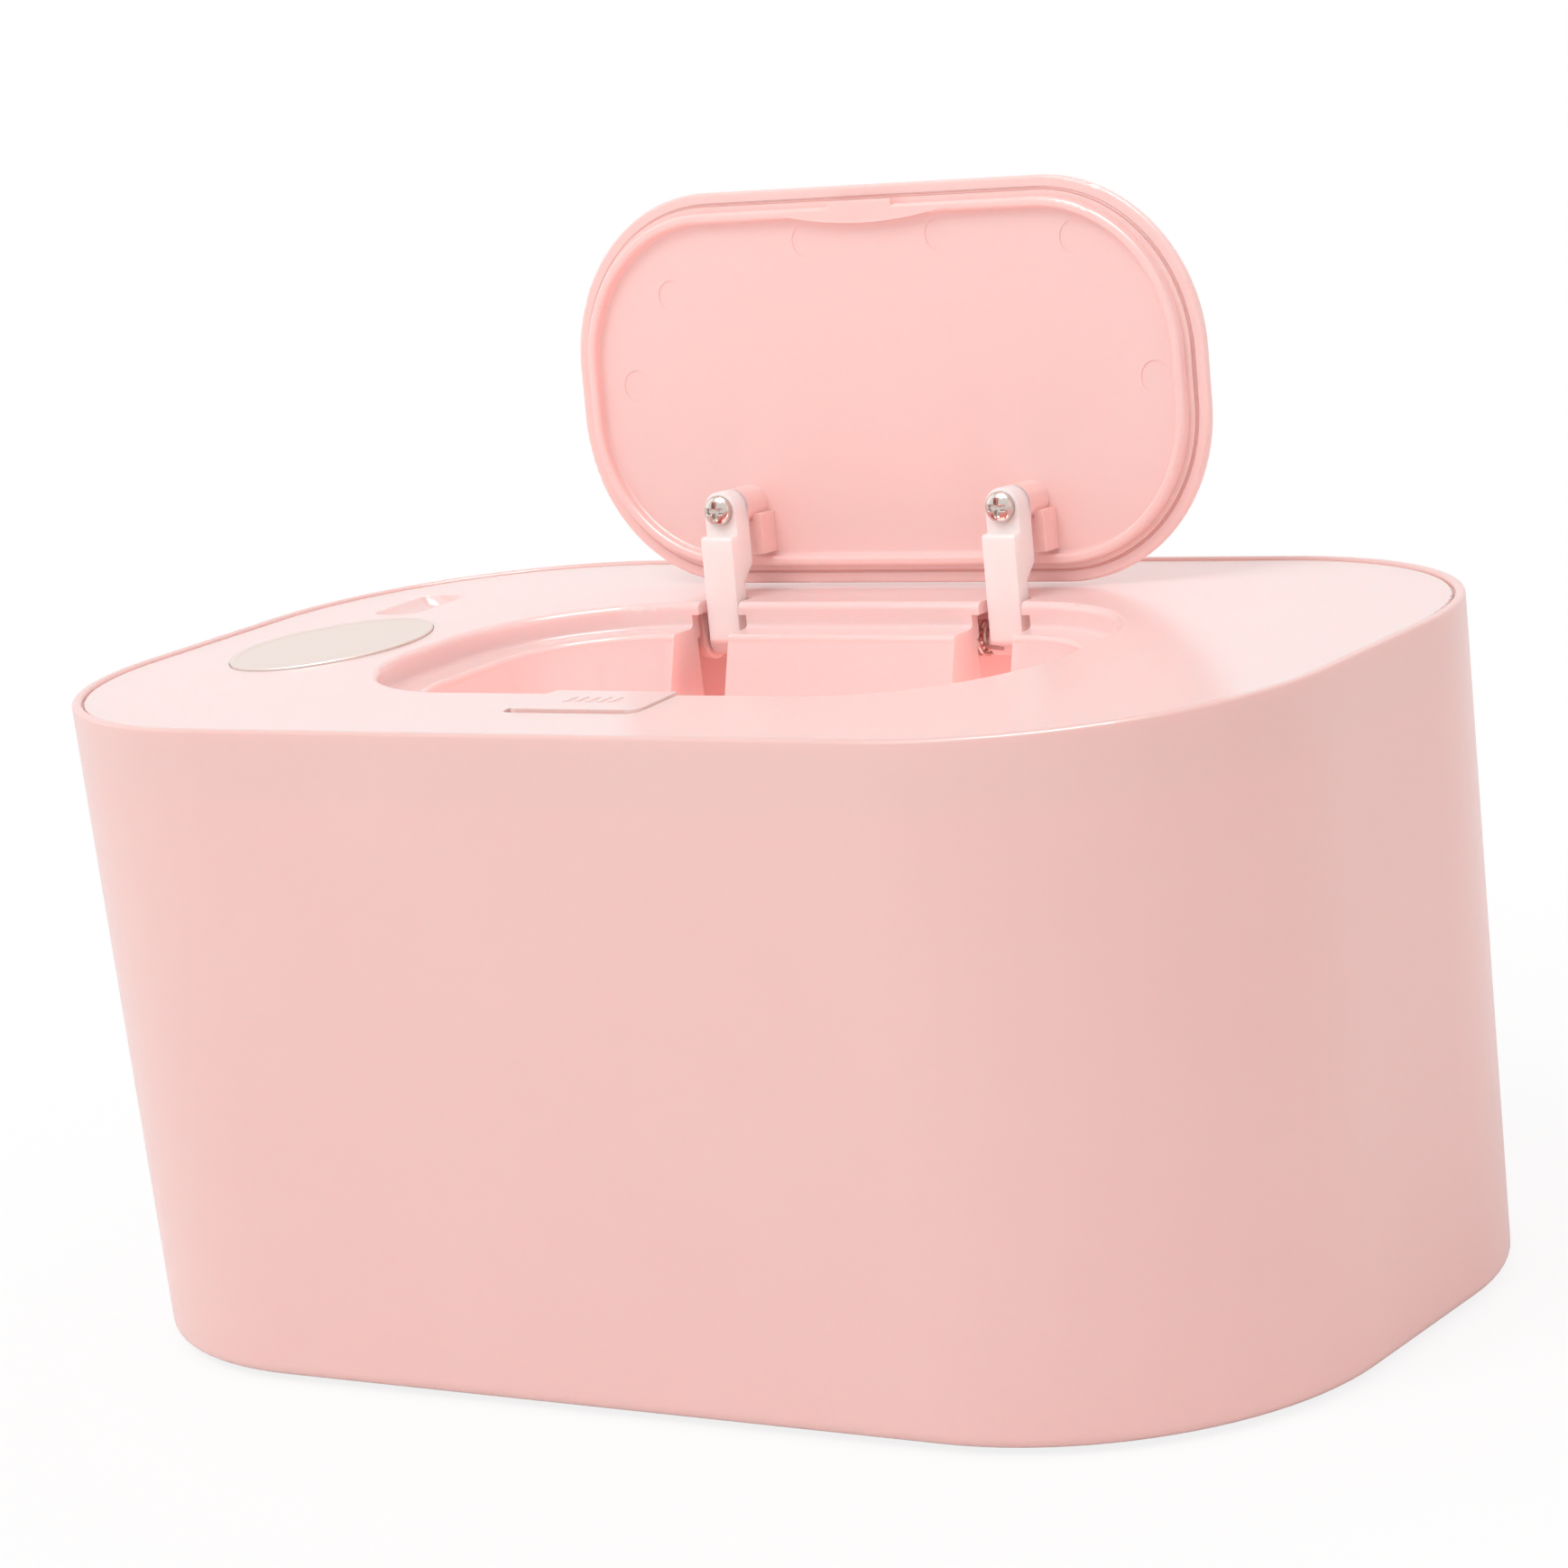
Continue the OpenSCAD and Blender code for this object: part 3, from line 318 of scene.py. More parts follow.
# Brushed aluminium foil of the badge: fine lines along the oval's length.
BRUSHED_FOIL = Finish(
    "brushed_foil", "#E6D7CF", "#DFCFC6", 0.34, grain=Grain.ALONG_Y, grain_mm=0.2, relief=0.06,
    roughness_spread=0.08, metallic=0.4,
)
# Nickel-plated steel of the screws and pins: bright, with sharp reflections.
NICKEL = Finish(
    "nickel_plate", "#D6CCC6", "#CBC1BB", 0.18, grain_mm=0.3, metallic=1.0, drift_mm=4.0
)
# Drawn spring steel: drawing lines along the wire.
SPRING_WIRE = Finish("spring_wire", "#DDCDC8", "#D2C3BF", 0.5, grain_mm=0.2, metallic=1.0)
# Satin-moulded ABS of the floor and the hidden bracket.
BASE_ABS = Finish("base_pink_abs", "#F3BDB6", "#F1B8B0", 0.5, grain_mm=0.4, relief=0.15)
# Moulded polypropylene tub, pink and slightly waxy.
TUB_PP = Finish("tub_polypropylene", "#FBC4BD", "#FAC0B8", 0.4)
# Rolled aluminium sheet: rolling lines along the plate.
ROLLED_ALUMINIUM = Finish(
    "rolled_aluminium", "#C9CBCE", "#BDBFC3", 0.38, grain=Grain.ALONG_X, grain_mm=0.3,
    relief=0.2, metallic=1.0,
)
# Polyimide film over etched foil: amber and glossy.
POLYIMIDE = Finish("polyimide_film", "#B8691C", "#A85D15", 0.22, coat=0.6)
# Needled felt of the insulation pad: a fuzzy, matt surface.
FELT = Finish(
    "needled_felt", "#DDD6C8", "#CEC5B5", 0.95, grain_mm=0.8, relief=0.8, relief_mm=0.3, sheen=0.3
)
# Glazed steatite of the thermal cut-off.
CERAMIC = Finish("glazed_ceramic", "#E3DCCB", "#D8D0BD", 0.25, coat=0.4)
# Cast epoxy bead of the temperature sensor.
EPOXY = Finish("epoxy_bead", "#2A2A2D", "#202023", 0.3, coat=0.3)
# Glass-fibre board under green solder mask.
SOLDER_MASK = Finish("solder_mask", "#2E7A4C", "#256A40", 0.3, grain_mm=0.9, coat=0.3)
# Moulded black nylon of the power socket.
BLACK_NYLON = Finish("black_nylon", "#1F1F21", "#28282A", 0.42, grain_mm=0.3, relief=0.2)
# Silicone sleeve of the heater leads.
SILICONE = Finish("silicone_sleeve", "#A83A30", "#9C332A", 0.55, softness=0.2)
# Moulded soft rubber of the feet.
RUBBER = Finish("foot_rubber", "#8E8A87", "#817D7A", 0.75, grain_mm=0.5, relief=0.3)


@dataclass(frozen=True)
class Piece:
    """A mesh object with its body, slot and finish."""

    name: str
    body: Carrier
    slot: Slot
    finish: Finish

    def add(self, points: np.ndarray, faces: list[list[int]]) -> bpy.types.Object:
        """Makes the mesh object from arrays, smooth shaded.

        Args:
            points: Vertex places, one row each, in metres.
            faces: Vertex numbers of each face.

        Returns:
            The new object, at the origin, riding on its body.
        """
        mesh = bpy.data.meshes.new(self.name)
        mesh.from_pydata(points.tolist(), [], faces)
        mesh.shade_smooth()
        mesh.update()
        return self.dress(new_object(self.name, mesh))

    def dress(self, piece: bpy.types.Object) -> bpy.types.Object:
        """Gives a piece its finish and rides it on its body."""
        piece.data.materials.clear()
        piece.data.materials.append(finish_material(self.finish))
        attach(piece, self.body.value)
        LOG.info("piece %s on %s: %d faces", self.name, self.body.value, len(piece.data.polygons))
        return piece


@cache
def finish_material(finish: Finish) -> bpy.types.Material:
    """Returns the finish's material, built once."""
    return finish.material()


def dress_nodes(frame: dict, finishes: dict[str, Finish]) -> None:
    """Gives CAD nodes their finishes.

    Args:
        finishes: CAD node name against its finish.
    """
    for node, finish in finishes.items():
        mesh = frame["nodes"][node].data
        mesh.materials.clear()
        mesh.materials.append(finish_material(finish))
        LOG.info("node %s: %s", node, finish.name)


def ring_surface(rings: np.ndarray) -> tuple[np.ndarray, list[list[int]]]:
    """Joins rows of points into one closed skin, with a single point at each end.

    Neighbouring rows are joined by four-sided faces all the way round. The first and the last
    row are closed by triangles to their mean point.

    Args:
        rings: Array of rows x points round x 3, with the points turning anticlockwise seen
            from the last row's end.

    Returns:
        The vertices, and the faces as lists of vertex numbers.
    """
    rows, around, _ = rings.shape
    row, step = np.meshgrid(np.arange(rows - 1), np.arange(around), indexing="ij")
    following = (step + 1) % around
    quads = np.stack(
        [
            row * around + step,
            row * around + following,
            (row + 1) * around + following,
            (row + 1) * around + step,
        ],
        axis=-1,
    ).reshape(-1, 4)
    here = np.arange(around)
    after = (here + 1) % around
    low = np.full(around, rows * around)
    top_row = (rows - 1) * around
    low_cap = np.column_stack([after, here, low])
    top_cap = np.column_stack([top_row + here, top_row + after, low + 1])
    points = np.vstack([rings.reshape(-1, 3), rings[0].mean(axis=0), rings[-1].mean(axis=0)])
    return points, quads.tolist() + low_cap.tolist() + top_cap.tolist()


def swept_loop(
    size_mm: tuple[float, float], radius_mm: float, section_mm: np.ndarray, around: int = 320
) -> tuple[np.ndarray, list[list[int]]]:
    """Sweeps a closed section round a rectangle with rounded corners.

    A point of the loop is its corner's centre plus the radius times its normal, so the four
    straight sides are what joins the corners.

    Args:
        size_mm: The loop's length and width.
        radius_mm: Its corner radius.
        section_mm: Rows of distance outwards and height, turning anticlockwise.
        around: Number of places round the loop.

    Returns:
        Array of places x section points x 3 in millimetres, and the faces.
    """
    turn = np.linspace(0.0, 2 * math.pi, around, endpoint=False)
    normal = np.stack([np.cos(turn), np.sin(turn)], axis=-1)
    centre = np.sign(normal) * (np.array(size_mm) / 2 - radius_mm)
    reach = radius_mm + section_mm[:, 0]
    flat = centre[:, None, :] + reach[None, :, None] * normal[:, None, :]
    height = np.broadcast_to(section_mm[None, :, 1:], (*flat.shape[:2], 1))
    count = len(section_mm)
    place, step = np.meshgrid(np.arange(around), np.arange(count), indexing="ij")
    after, following = (place + 1) % around, (step + 1) % count
    faces = np.stack(
        [
            place * count + step, after * count + step,
            after * count + following, place * count + following,
        ],
        axis=-1,
    )
    return np.concatenate([flat, height], axis=-1), faces.reshape(-1, 4).tolist()


def smooth_step(value: np.ndarray) -> np.ndarray:
    """Rises from 0 to 1 between 0 and 1 with level ends: 3t^2 - 2t^3."""
    t = np.clip(value, 0.0, 1.0)
    return t * t * (3.0 - 2.0 * t)


@dataclass(frozen=True)
class Moulding(Piece):
    """A CAD node that shows with the rounded edges that its mould gives it."""

    node: str
    edge_mm: float
    merge_mm: float = 0.002
    flat_degrees: float = 0.6
    sharp_degrees: float = 38.0
    segments: int = 3

    def rounded(self, frame: dict) -> bpy.types.Object:
        """Copies the CAD node, welds it, makes its flat faces whole and rounds its edges.

        The rounding is a true bevel of the mesh, of the radius a mould cutter leaves. It takes
        every edge that turns by more than `sharp_degrees`.


        Returns:
            The copy, not yet dressed.
        """
        mesh = frame["nodes"][self.node].data.copy()
        mesh.name = self.name
        piece = new_object(self.name, mesh)
        weld = piece.modifiers.new("weld", "WELD")
        weld.merge_threshold = self.merge_mm * MM
        flat = piece.modifiers.new("flat", "DECIMATE")
        flat.decimate_type = "DISSOLVE"
        flat.angle_limit = math.radians(self.flat_degrees)
        bevel = piece.modifiers.new("edges", "BEVEL")
        bevel.width = self.edge_mm * MM
        bevel.segments = self.segments
        bevel.limit_method = "ANGLE"
        bevel.angle_limit = math.radians(self.sharp_degrees)
        bevel.harden_normals = True
        bevel.use_clamp_overlap = True
        return piece

    def build(self, frame: dict) -> bpy.types.Object:
        """Makes the rounded copy, dresses it and hides the CAD node behind it.


        Returns:
            The copy, riding on the node's body.
        """
        copy = self.dress(self.rounded(frame))
        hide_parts(self.node)
        return copy


@dataclass
class Camera:
    """The photograph's camera, fitted to the body's rim, foot, opening and lid."""

    focal_pixels: float = 5692.8
    yaw: float = 0.608
    pitch: float = 0.204
    roll: float = -0.1175
    centre_mm: tuple[float, float, float] = (451.89, -644.60, 244.95)

    def build(self) -> bpy.types.Object:
        """Makes the camera from its turn, its pitch and its roll.

        Returns:
            The camera, set as the scene's own.
        """
        right = np.array([math.cos(self.yaw), math.sin(self.yaw), 0.0])
        ahead = np.array(
            [
                -math.sin(self.yaw) * math.cos(self.pitch),
                math.cos(self.yaw) * math.cos(self.pitch),
                -math.sin(self.pitch),
            ]
        )
        above = np.cross(right, ahead)
        side = right * math.cos(self.roll) + above * math.sin(self.roll)
        top = above * math.cos(self.roll) - right * math.sin(self.roll)
        turn = Matrix(np.column_stack([side, top, -ahead]).tolist()).to_4x4()
        data = bpy.data.cameras.new("camera")
        data.sensor_width = SENSOR_MM
        data.lens = self.focal_pixels * SENSOR_MM / PICTURE_PIXELS
        camera = new_object("camera", data)
        camera.matrix_world = Matrix.Translation(Vector(self.centre_mm) * MM) @ turn
        bpy.context.scene.camera = camera
        return camera


@dataclass(frozen=True)
class SoftLamp:
    """A square area lamp, hidden from the camera, that faces the warmer's middle or a target.

    Its power is in watts. One that only shines shows in glossy edges and lights nothing else.
    """

    name: str
    place: tuple[float, float, float]
    side: float
    power: float
    target: tuple[float, float, float] = (0.0, 0.0, 0.06)
    colour: str = "#FFFFFF"
    shine_only: bool = False

    def build(self) -> bpy.types.Object:
        """Makes the lamp at its place, turned to its target.

        Returns:
            The lamp's object.
        """
        data = bpy.data.lights.new(self.name, "AREA")
        data.size = self.side
        data.energy = self.power
        data.color = linear(self.colour)[:3]
        lamp = new_object(self.name, data)
        lamp.visible_camera = False
        lamp.visible_diffuse = not self.shine_only
        lamp.location = self.place
        aim = Vector(self.target) - Vector(self.place)
        lamp.rotation_euler = aim.to_track_quat("-Z", "Y").to_euler()
        return lamp


@dataclass
class Studio:
    """Pale floor, white surroundings and large soft lamps.

    The camera sees the floor as `white_share` pure white up to `fade_from` from the middle,
    where the shadow has to show, and as all white from `fade_to` outwards.
    """

    floor_half: float = 3.0
    fibres_per_metre: float = 900.0
    fade_from: float = 0.1
    fade_to: float = 0.3
    white_share: float = 0.84
    world_light: float = 0.75
    lamps: tuple[SoftLamp, ...] = (
        # Main light of the front wall and the deck, from above the front.
        SoftLamp("key", (-0.35, -1.0, 1.5), 0.9, 9.1),
        # Warm reflection that deepens the pink of the right-hand side.
        SoftLamp("right_glow", (1.5, -0.2, 0.5), 1.0, 1.2, colour="#FF8F80"),
        # Fill that keeps the left-hand side and the back from greying.
        SoftLamp("left_fill", (-1.5, -0.3, 0.8), 1.2, 2.0),
        SoftLamp("back_rim", (0.2, 1.4, 1.3), 1.2, 2.5),
        # Thin highlights along the rim, the recess and the lid's ring.
        SoftLamp("edge_shine", (0.25, -0.25, 1.65), 0.9, 44.0, shine_only=True),
        # Light that many bounces between the pale tub's walls bring up to the hinge slots.
        SoftLamp("inside", (0.0, -0.01, 0.035), 0.06, 0.026, (0.0, 0.045, 0.09), "#FFC8C6"),
        SoftLamp("inside_right", (0.06, 0.0, 0.05), 0.04, 0.04, (-0.045, 0.0, 0.095), "#FFD4D0"),
    )

    def build(self) -> None:
        """Makes the floor, the world and the lamps."""
        self.floor()
        self.world()
        for lamp in self.lamps:
            lamp.build()
        bpy.context.scene.view_settings.view_transform = "Standard"

    def floor(self) -> bpy.types.Object:
        """Makes the floor: a matt white sheet that the camera sees lighter than it is lit.

        Returns:
            The floor.
        """
        half = self.floor_half
        sheet = np.array([[-half, -half, 0], [half, -half, 0], [half, half, 0], [-half, half, 0]])
        mesh = bpy.data.meshes.new("floor")
        mesh.from_pydata(sheet.tolist(), [], [(0, 1, 2, 3)])
        floor = new_object("floor", mesh)
        material = bpy.data.materials.new("white_paper")
        tree = empty_tree(material)
        place = add_node(tree, "ShaderNodeTexCoord").outputs["Object"]
        fibre = add_node(
            tree, "ShaderNodeTexNoise", {"Vector": place, "Scale": self.fibres_per_metre}
        )
        tone = add_node(
            tree,
            "ShaderNodeMix",
            {
                "Factor": fibre.outputs["Fac"],
                COLOUR_A: linear("#F7F5F4"),
                COLOUR_B: linear("#F4F2F1"),
            },
            data_type="RGBA",
        )
        paper = add_node(tree, "ShaderNodeBsdfDiffuse", {"Color": tone.outputs[MIXED_COLOUR]})
        white = add_node(tree, "ShaderNodeEmission", {"Color": (1, 1, 1, 1), "Strength": 1.0})
        distance = add_node(tree, "ShaderNodeVectorMath", {0: place}, operation="LENGTH")
        fade = add_node(
            tree,
            "ShaderNodeMapRange",
            {
                "Value": distance.outputs["Value"],
                "From Min": self.fade_from,
                "From Max": self.fade_to,
                "To Min": self.white_share,
            },
        )
        path = add_node(tree, "ShaderNodeLightPath")
        seen = add_node(
            tree,
            "ShaderNodeMath",
            {0: path.outputs["Is Camera Ray"], 1: fade.outputs["Result"]},
            operation="MULTIPLY",
        )
        mix = add_node(
            tree,
            "ShaderNodeMixShader",
            {0: seen.outputs["Value"], 1: paper.outputs["BSDF"], 2: white.outputs["Emission"]},
        )
        add_node(tree, "ShaderNodeOutputMaterial", {"Surface": mix.outputs["Shader"]})
        mesh.materials.append(material)
        return floor

    def world(self) -> None:
        """White for camera, mirror and glass rays, softer as the light on the object."""
        world = bpy.data.worlds.new("studio")
        bpy.context.scene.world = world
        tree = empty_tree(world)
        path = add_node(tree, "ShaderNodeLightPath")
        shown = path.outputs["Is Camera Ray"]
        for ray in ("Is Glossy Ray", "Is Transmission Ray"):
            shown = add_node(
                tree, "ShaderNodeMath", {0: shown, 1: path.outputs[ray]}, operation="MAXIMUM"
            ).outputs["Value"]
        strength = add_node(
            tree,
            "ShaderNodeMapRange",
            {"Value": shown, "To Min": self.world_light, "To Max": 1.0},
        )
        light = add_node(
            tree,
            "ShaderNodeBackground",
            {"Color": (1, 1, 1, 1), "Strength": strength.outputs["Result"]},
        )
        add_node(tree, "ShaderNodeOutputWorld", {"Surface": light.outputs["Background"]})


@dataclass
class BadgePlate:
    """The oval foil plate on the deck: four arcs, a raised border and a faint crown."""

    deck_z: float
    middle_mm: tuple[float, float] = (-81.0, -3.0)
    length_mm: float = 40.0
    width_mm: float = 30.0
    end_share: float = 0.73
    seat_mm: float = 0.4
    thick_mm: float = 0.8
    around: int = 192

    def outline(self, inset: np.ndarray) -> np.ndarray:
        """Parallel curves of the oval, each a set distance inside it.

        Every point lies on one of two large side circles or two small end circles, by the
        direction of its normal, so that an inset only shortens the radius.

        Args:
            inset: Distance inside the outline of each row, in millimetres.

        Returns:
            Array of rows x points round x 2, in millimetres about the oval's middle.
        """
        half_wide = self.width_mm / 2
        end_radius = self.end_share * half_wide
        end_y = self.length_mm / 2 - end_radius
        spread = half_wide - end_radius
        side_radius = (half_wide**2 + end_y**2 - end_radius**2) / (2 * spread)
        side_x = side_radius - half_wide
        turn = np.linspace(0.0, 2 * math.pi, self.around, endpoint=False)
        normal = np.stack([np.cos(turn), np.sin(turn)], axis=-1)
        on_side = np.abs(normal[:, 1]) < end_y / math.hypot(end_y, side_x)
        zero = np.zeros(self.around)
        centre = np.where(
            on_side[:, None],
            np.stack([-np.sign(normal[:, 0]) * side_x, zero], axis=-1),
            np.stack([zero, np.sign(normal[:, 1]) * end_y], axis=-1),
        )
        radius = np.where(on_side, side_radius, end_radius)
        reach = radius[None, :] - inset[:, None]
        return centre[None] + reach[..., None] * normal[None]

    def build(self) -> bpy.types.Object:
        """Makes the plate from rows that climb its edge, cross the border and crown its field.

        Returns:
            The plate, riding on the cover in place of the CAD plate.
        """
        top = self.thick_mm - self.seat_mm
        profile = np.array(
            [
                (0.0, -self.seat_mm), (0.0, 0.0), (0.0, top - 0.2), (0.05, top - 0.08),
                (0.16, top - 0.02), (0.3, top), (0.9, top), (1.05, top - 0.03),
                (1.2, top - 0.12), (1.4, top - 0.14), (3.0, top - 0.11), (5.0, top - 0.08),
                (7.5, top - 0.05), (10.0, top - 0.04),
            ]
        )
        flat = self.outline(profile[:, 0])
        height = np.broadcast_to(profile[:, 1][:, None, None], (*flat.shape[:2], 1))
        rings = np.concatenate([flat + np.array(self.middle_mm), height], axis=-1) * MM
        rings[..., 2] += self.deck_z
        piece = Piece("badge_plate", Carrier.COVER, Slot.BADGE, BRUSHED_FOIL)
        plate = piece.add(*ring_surface(rings))
        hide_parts("cover_badge")
        return plate


@dataclass
class PanScrew:
    """A cross-head pan screw: a shank, a domed head and a tapered cross in it."""

    shank_mm: float = 2.6
    length_mm: float = 7.0
    head_mm: float = 5.0
    height_mm: float = 1.8
    shoulder_mm: float = 0.5
    cross_mm: float = 3.0
    slot_mm: float = 0.85
    depth_mm: float = 1.25
    depth_lost_at_ends: float = 0.45
    slot_edge_mm: float = 0.16
    dome_rows: int = 44
    dome_power: float = 0.8
    dome_reach: float = 0.985
    around: int = 120

    def slot(self, across: np.ndarray, along: np.ndarray) -> np.ndarray:
        """Marks one slot of the cross: 1 within it, 0 outside, rising smoothly at its edge.

        Args:
            across: Distance from the slot's middle line, in millimetres.
            along: Distance from the screw's axis along the slot, in millimetres.

        Returns:
            The share of the slot's depth at each point.
        """
        inside = [
            smooth_step((size / 2 - np.abs(reach)) / self.slot_edge_mm + 0.5)
            for size, reach in ((self.slot_mm, across), (self.cross_mm, along))
        ]
        return inside[0] * inside[1]

    def rings(self) -> np.ndarray:
        """Rows from the shank's tip up over the head, with the tip's end along -Z.

        The head's top is an arc of a sphere with a rounded shoulder. The cross is pressed into
        it: a mask of two crossed slots with soft sides times a depth that grows to the middle.

        Returns:
            Array of rows x points round x 3 in millimetres, the head's seat at height 0.
        """
        shank = self.shank_mm / 2
        head = self.head_mm / 2
        shoulder = self.shoulder_mm
        side = [
            (0.2, -self.length_mm), (shank - 0.5, -self.length_mm + 0.1),
            (shank, -self.length_mm + 0.9), (shank, -0.01), (head - 0.15, 0.0), (head, 0.1),
            (head, shoulder),
        ]
        arc = np.linspace(0.0, 1.0, self.dome_rows) * math.pi / 2
        over = head * np.cos(arc * self.dome_reach)
        rise = shoulder + (self.height_mm - shoulder) * np.sin(arc) ** self.dome_power
        profile = np.vstack([np.array(side), np.column_stack([over, rise])[1:]])
        turn = np.linspace(0.0, 2 * math.pi, self.around, endpoint=False)
        x = profile[:, 0][:, None] * np.cos(turn)
        y = profile[:, 0][:, None] * np.sin(turn)
        z = np.broadcast_to(profile[:, 1][:, None], x.shape).copy()
        lost = self.depth_lost_at_ends * np.hypot(x, y) / (self.cross_mm / 2)
        cross = np.maximum(self.slot(x, y), self.slot(y, x)) * self.depth_mm * (1.0 - lost)
        z -= np.where(z > shoulder, cross, 0.0)
        return np.stack([x, y, z], axis=-1)


@dataclass
class CoilSpring:
    """A compression spring of round wire with closed end turns."""

    wire_mm: float = 0.6
    turns: int = 6
    end_turn_climb: float = 1.05
    steps: int = 36
    around: int = 12

    def rings(self, low: Vector, high: Vector) -> np.ndarray:
        """Rows of points round the wire, from the lower end to the upper one.

        The wire climbs by `end_turn_climb` of its thickness in the first and the last turn and
        shares the rest of the height among the turns between.

        Args:
            low: Lowest corner of the spring's box.
            high: Its highest corner.

        Returns:
            Array of rows x points round x 3, in metres.
        """
        wire = self.wire_mm * MM / 2
        climb = high.z - low.z - 2 * wire
        end = self.end_turn_climb * 2 * wire
        turn = np.linspace(0.0, self.turns, self.turns * self.steps + 1)
        height = np.interp(turn, [0, 1, self.turns - 1, self.turns], [0, end, climb - end, climb])
        angle = 2 * math.pi * turn
        outward = np.stack([np.cos(angle), np.sin(angle), np.zeros_like(angle)], axis=-1)
        middle = (high.x - low.x) / 2 - wire
        path = outward * middle + np.array(
            [(low.x + high.x) / 2, (low.y + high.y) / 2, low.z + wire]
        )
        path[:, 2] += height
        ring = np.linspace(0.0, 2 * math.pi, self.around, endpoint=False)
        across = np.cos(ring)[None, :, None] * outward[:, None, :]
        upward = np.sin(ring)[None, :, None] * np.array([0.0, 0.0, 1.0])
        return path[:, None, :] + wire * (across - upward)


@dataclass
class Body:
    """The base: shell, floor, feet and all that sits inside."""

    frame: dict
    gap_mm: tuple[float, float] = (215.9, 127.9)
    gap_radius_mm: float = 47.25
    step_top_mm: float = 104.5
    step_high_mm: float = 0.5
    step_inwards_mm: float = 0.12
    step_outwards_mm: float = 0.2

    def rim_step(self) -> bpy.types.Object:
        """Makes the step inside the rim that shows at the bottom of the cover's gap.

        Its section is a rectangle that runs round the gap's middle line.

        Returns:
            The step, riding on the base.
        """
        top, low = self.step_top_mm, self.step_top_mm - self.step_high_mm
        near, far = -self.step_inwards_mm, self.step_outwards_mm
        section = np.array([(near, low), (far, low), (far, top), (near, top)])
        points, faces = swept_loop(self.gap_mm, self.gap_radius_mm, section)
        piece = Piece("rim_step", Carrier.BASE, Slot.SHELL, SATIN_ABS)
        return piece.add(points.reshape(-1, 3) * MM, faces)

    def build(self) -> None:
        """Dresses the base's nodes, makes the rim's step and rounds the shell's edges."""
        dress_nodes(
            self.frame,
            {
                "base_plate": BASE_ABS,
                "rubber_feet": RUBBER,
                "base_screws": NICKEL,
                "inner_tub": TUB_PP,
                "heater_plate": ROLLED_ALUMINIUM,
                "heater_film": POLYIMIDE,
                "insulation_pad": FELT,
                "thermal_cutoff": CERAMIC,
                "temperature_sensor": EPOXY,
                "control_board": SOLDER_MASK,
                "board_screws": NICKEL,
                "power_socket": BLACK_NYLON,
                "heater_leads": SILICONE,
            },
        )
        self.rim_step()
        shell = Moulding(
            "shell_moulding", Carrier.BASE, Slot.SHELL, SATIN_ABS, "outer_shell", 0.4
        )
        shell.build(self.frame)


@dataclass
class TopCover:
    """The lift-off cover with the badge, the hinge parts and the latch parts."""

    frame: dict

    def build(self) -> None:
        """Dresses the cover's nodes and makes its badge, its mouldings and its spring."""
        dress_nodes(
            self.frame,
            {
                "cover_badge": BRUSHED_FOIL,
                "hinge_pin": NICKEL,
                "hinge_pin_clip": SPRING_WIRE,
                "hinge_spring_left": SPRING_WIRE,
                "hinge_spring_right": SPRING_WIRE,
                "latch_bracket": BASE_ABS,
                "latch_bracket_screws": NICKEL,
                "button_pin": NICKEL,
            },
        )
        BadgePlate(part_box("cover_badge")[0].z + BadgePlate.seat_mm * MM).build()
        for name, body, node, edge_mm in (
            ("cover_moulding", Carrier.COVER, "top_cover", 0.5),
            ("button_pad", Carrier.BUTTON, "release_button", 0.35),
        ):
            Moulding(name, body, Slot.COVER, POLISHED_ABS, node, edge_mm).build(self.frame)
        self.spring()

    def spring(self) -> bpy.types.Object:
        """Makes the button's spring, a coil that fills the box of the CAD spring.

        Returns:
            The spring, riding on the cover.
        """
        low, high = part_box("button_spring")
        piece = Piece("button_coil", Carrier.COVER, Slot.SPRING, SPRING_WIRE)
        coil = piece.add(*ring_surface(CoilSpring().rings(low, high)))
        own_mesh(coil)
        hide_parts("button_spring")
        return coil


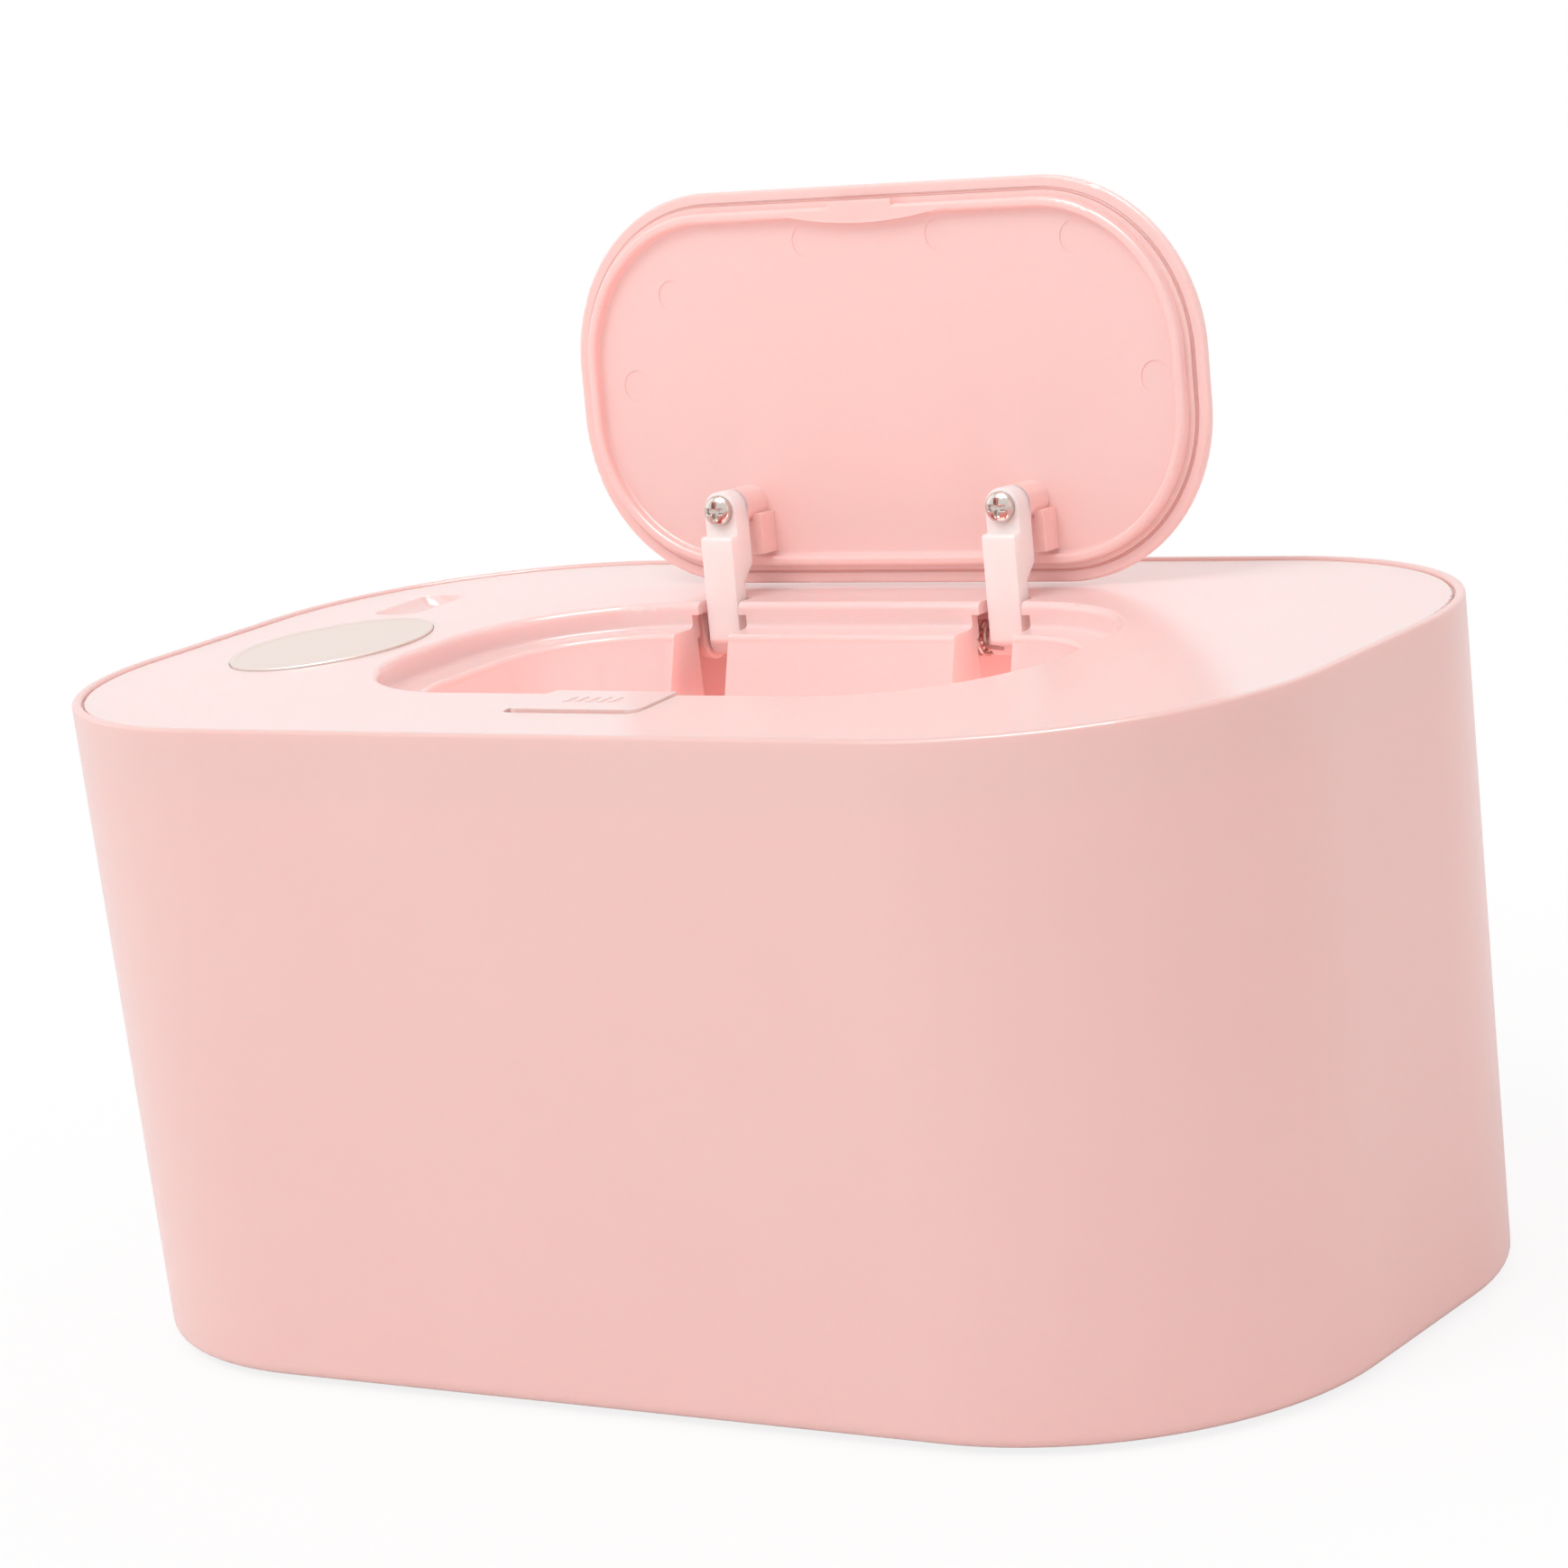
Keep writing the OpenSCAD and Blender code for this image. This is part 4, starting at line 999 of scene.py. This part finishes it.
@dataclass
class Lid:
    """The open lid: two shells, two arms and their screws."""

    frame: dict
    arm_spread_mm: float = 27.0
    screw_reach_mm: float = 21.6
    screw_seat_mm: float = -4.3
    seam_mm: tuple[float, float] = (115.4, 60.2)
    seam_radius_mm: float = 25.8
    seam_reach_mm: float = 40.3
    seam_height_mm: float = 6.1
    seam_shade_bead_mm: float = 0.3

    def opened(self, points_mm: np.ndarray) -> np.ndarray:
        """Turns points of the shut lid about its pin to the open rest place.

        Args:
            points_mm: Array whose last axis is x, forwards and up from the pin, the lid shut.

        Returns:
            Places in metres, the lid open as far as its joint allows.
        """
        hinge = joint_named(self.frame, "lid_hinge")
        angle = math.radians(hinge["range_deg"][1])
        x, forwards, up = np.moveaxis(points_mm * MM, -1, 0)
        y = -forwards * math.cos(angle) + up * math.sin(angle)
        z = forwards * math.sin(angle) + up * math.cos(angle)
        return np.stack([x, y, z], axis=-1) + np.array(hinge["pos_m"])

    def screw(self, side: int, name: str) -> bpy.types.Object:
        """Makes one arm screw, head towards the front when the lid is open.

        Args:
            side: -1 for the left arm, 1 for the right one.
            name: Name of the CAD node it stands for.

        Returns:
            The screw, riding on the lid in place of the CAD screw.
        """
        local = PanScrew().rings()
        shut = np.stack(
            [
                side * self.arm_spread_mm + local[..., 0],
                self.screw_reach_mm + local[..., 1],
                self.screw_seat_mm - local[..., 2],
            ],
            axis=-1,
        )
        piece = Piece(f"{name}_pan_head", Carrier.LID, Slot.SCREWS, NICKEL)
        screw = piece.add(*ring_surface(self.opened(shut)))
        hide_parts(name)
        return screw

    def weld(self) -> bpy.types.Object:
        """Makes a bead of deeper pink that fills the seam between the lid's halves: painted shade
        of the seam, standing in for the shade in the gap.

        Its round section, of radius `seam_shade_bead_mm`, runs round the liner's edge.

        Returns:
            The bead, riding on the lid.
        """
        turn = np.linspace(0.0, 2 * math.pi, 16, endpoint=False)
        section = self.seam_shade_bead_mm * np.stack([np.cos(turn), -np.sin(turn)], axis=-1)
        points, faces = swept_loop(self.seam_mm, self.seam_radius_mm, section)
        points[..., 1] += self.seam_reach_mm
        points[..., 2] += self.seam_height_mm
        # The bead's deeper pink is painted shade of the seam between the lid's halves.
        bead = Piece("lid_seam_shade_bead", Carrier.LID, Slot.LID, SEAM_SHADE_ABS)
        return bead.add(self.opened(points).reshape(-1, 3), faces)

    def build(self) -> None:
        """Makes the seam bead of painted shade, the two screws and the rounded copies of the
        lid's four mouldings.
        """
        self.weld()
        self.screw(-1, "arm_screw_left")
        self.screw(1, "arm_screw_right")
        for name, slot, finish, node, edge_mm in (
            ("lid_moulding", Slot.LID, LID_ABS, "lid_shell", 0.5),
            ("liner_moulding", Slot.LID, LID_ABS, "lid_liner", 0.4),
            ("arm_left", Slot.ARMS, MILKY_NYLON, "hinge_arm_left", 0.6),
            ("arm_right", Slot.ARMS, MILKY_NYLON, "hinge_arm_right", 0.6),
        ):
            Moulding(name, Carrier.LID, slot, finish, node, edge_mm).build(self.frame)


def main() -> None:
    """Builds the warmer's looks around the frame."""
    logging.basicConfig(level=logging.INFO, format="%(message)s")
    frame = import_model()
    Camera().build()
    Body(frame).build()
    TopCover(frame).build()
    Lid(frame).build()
    Studio().build()


if __name__ == "__main__":
    main()
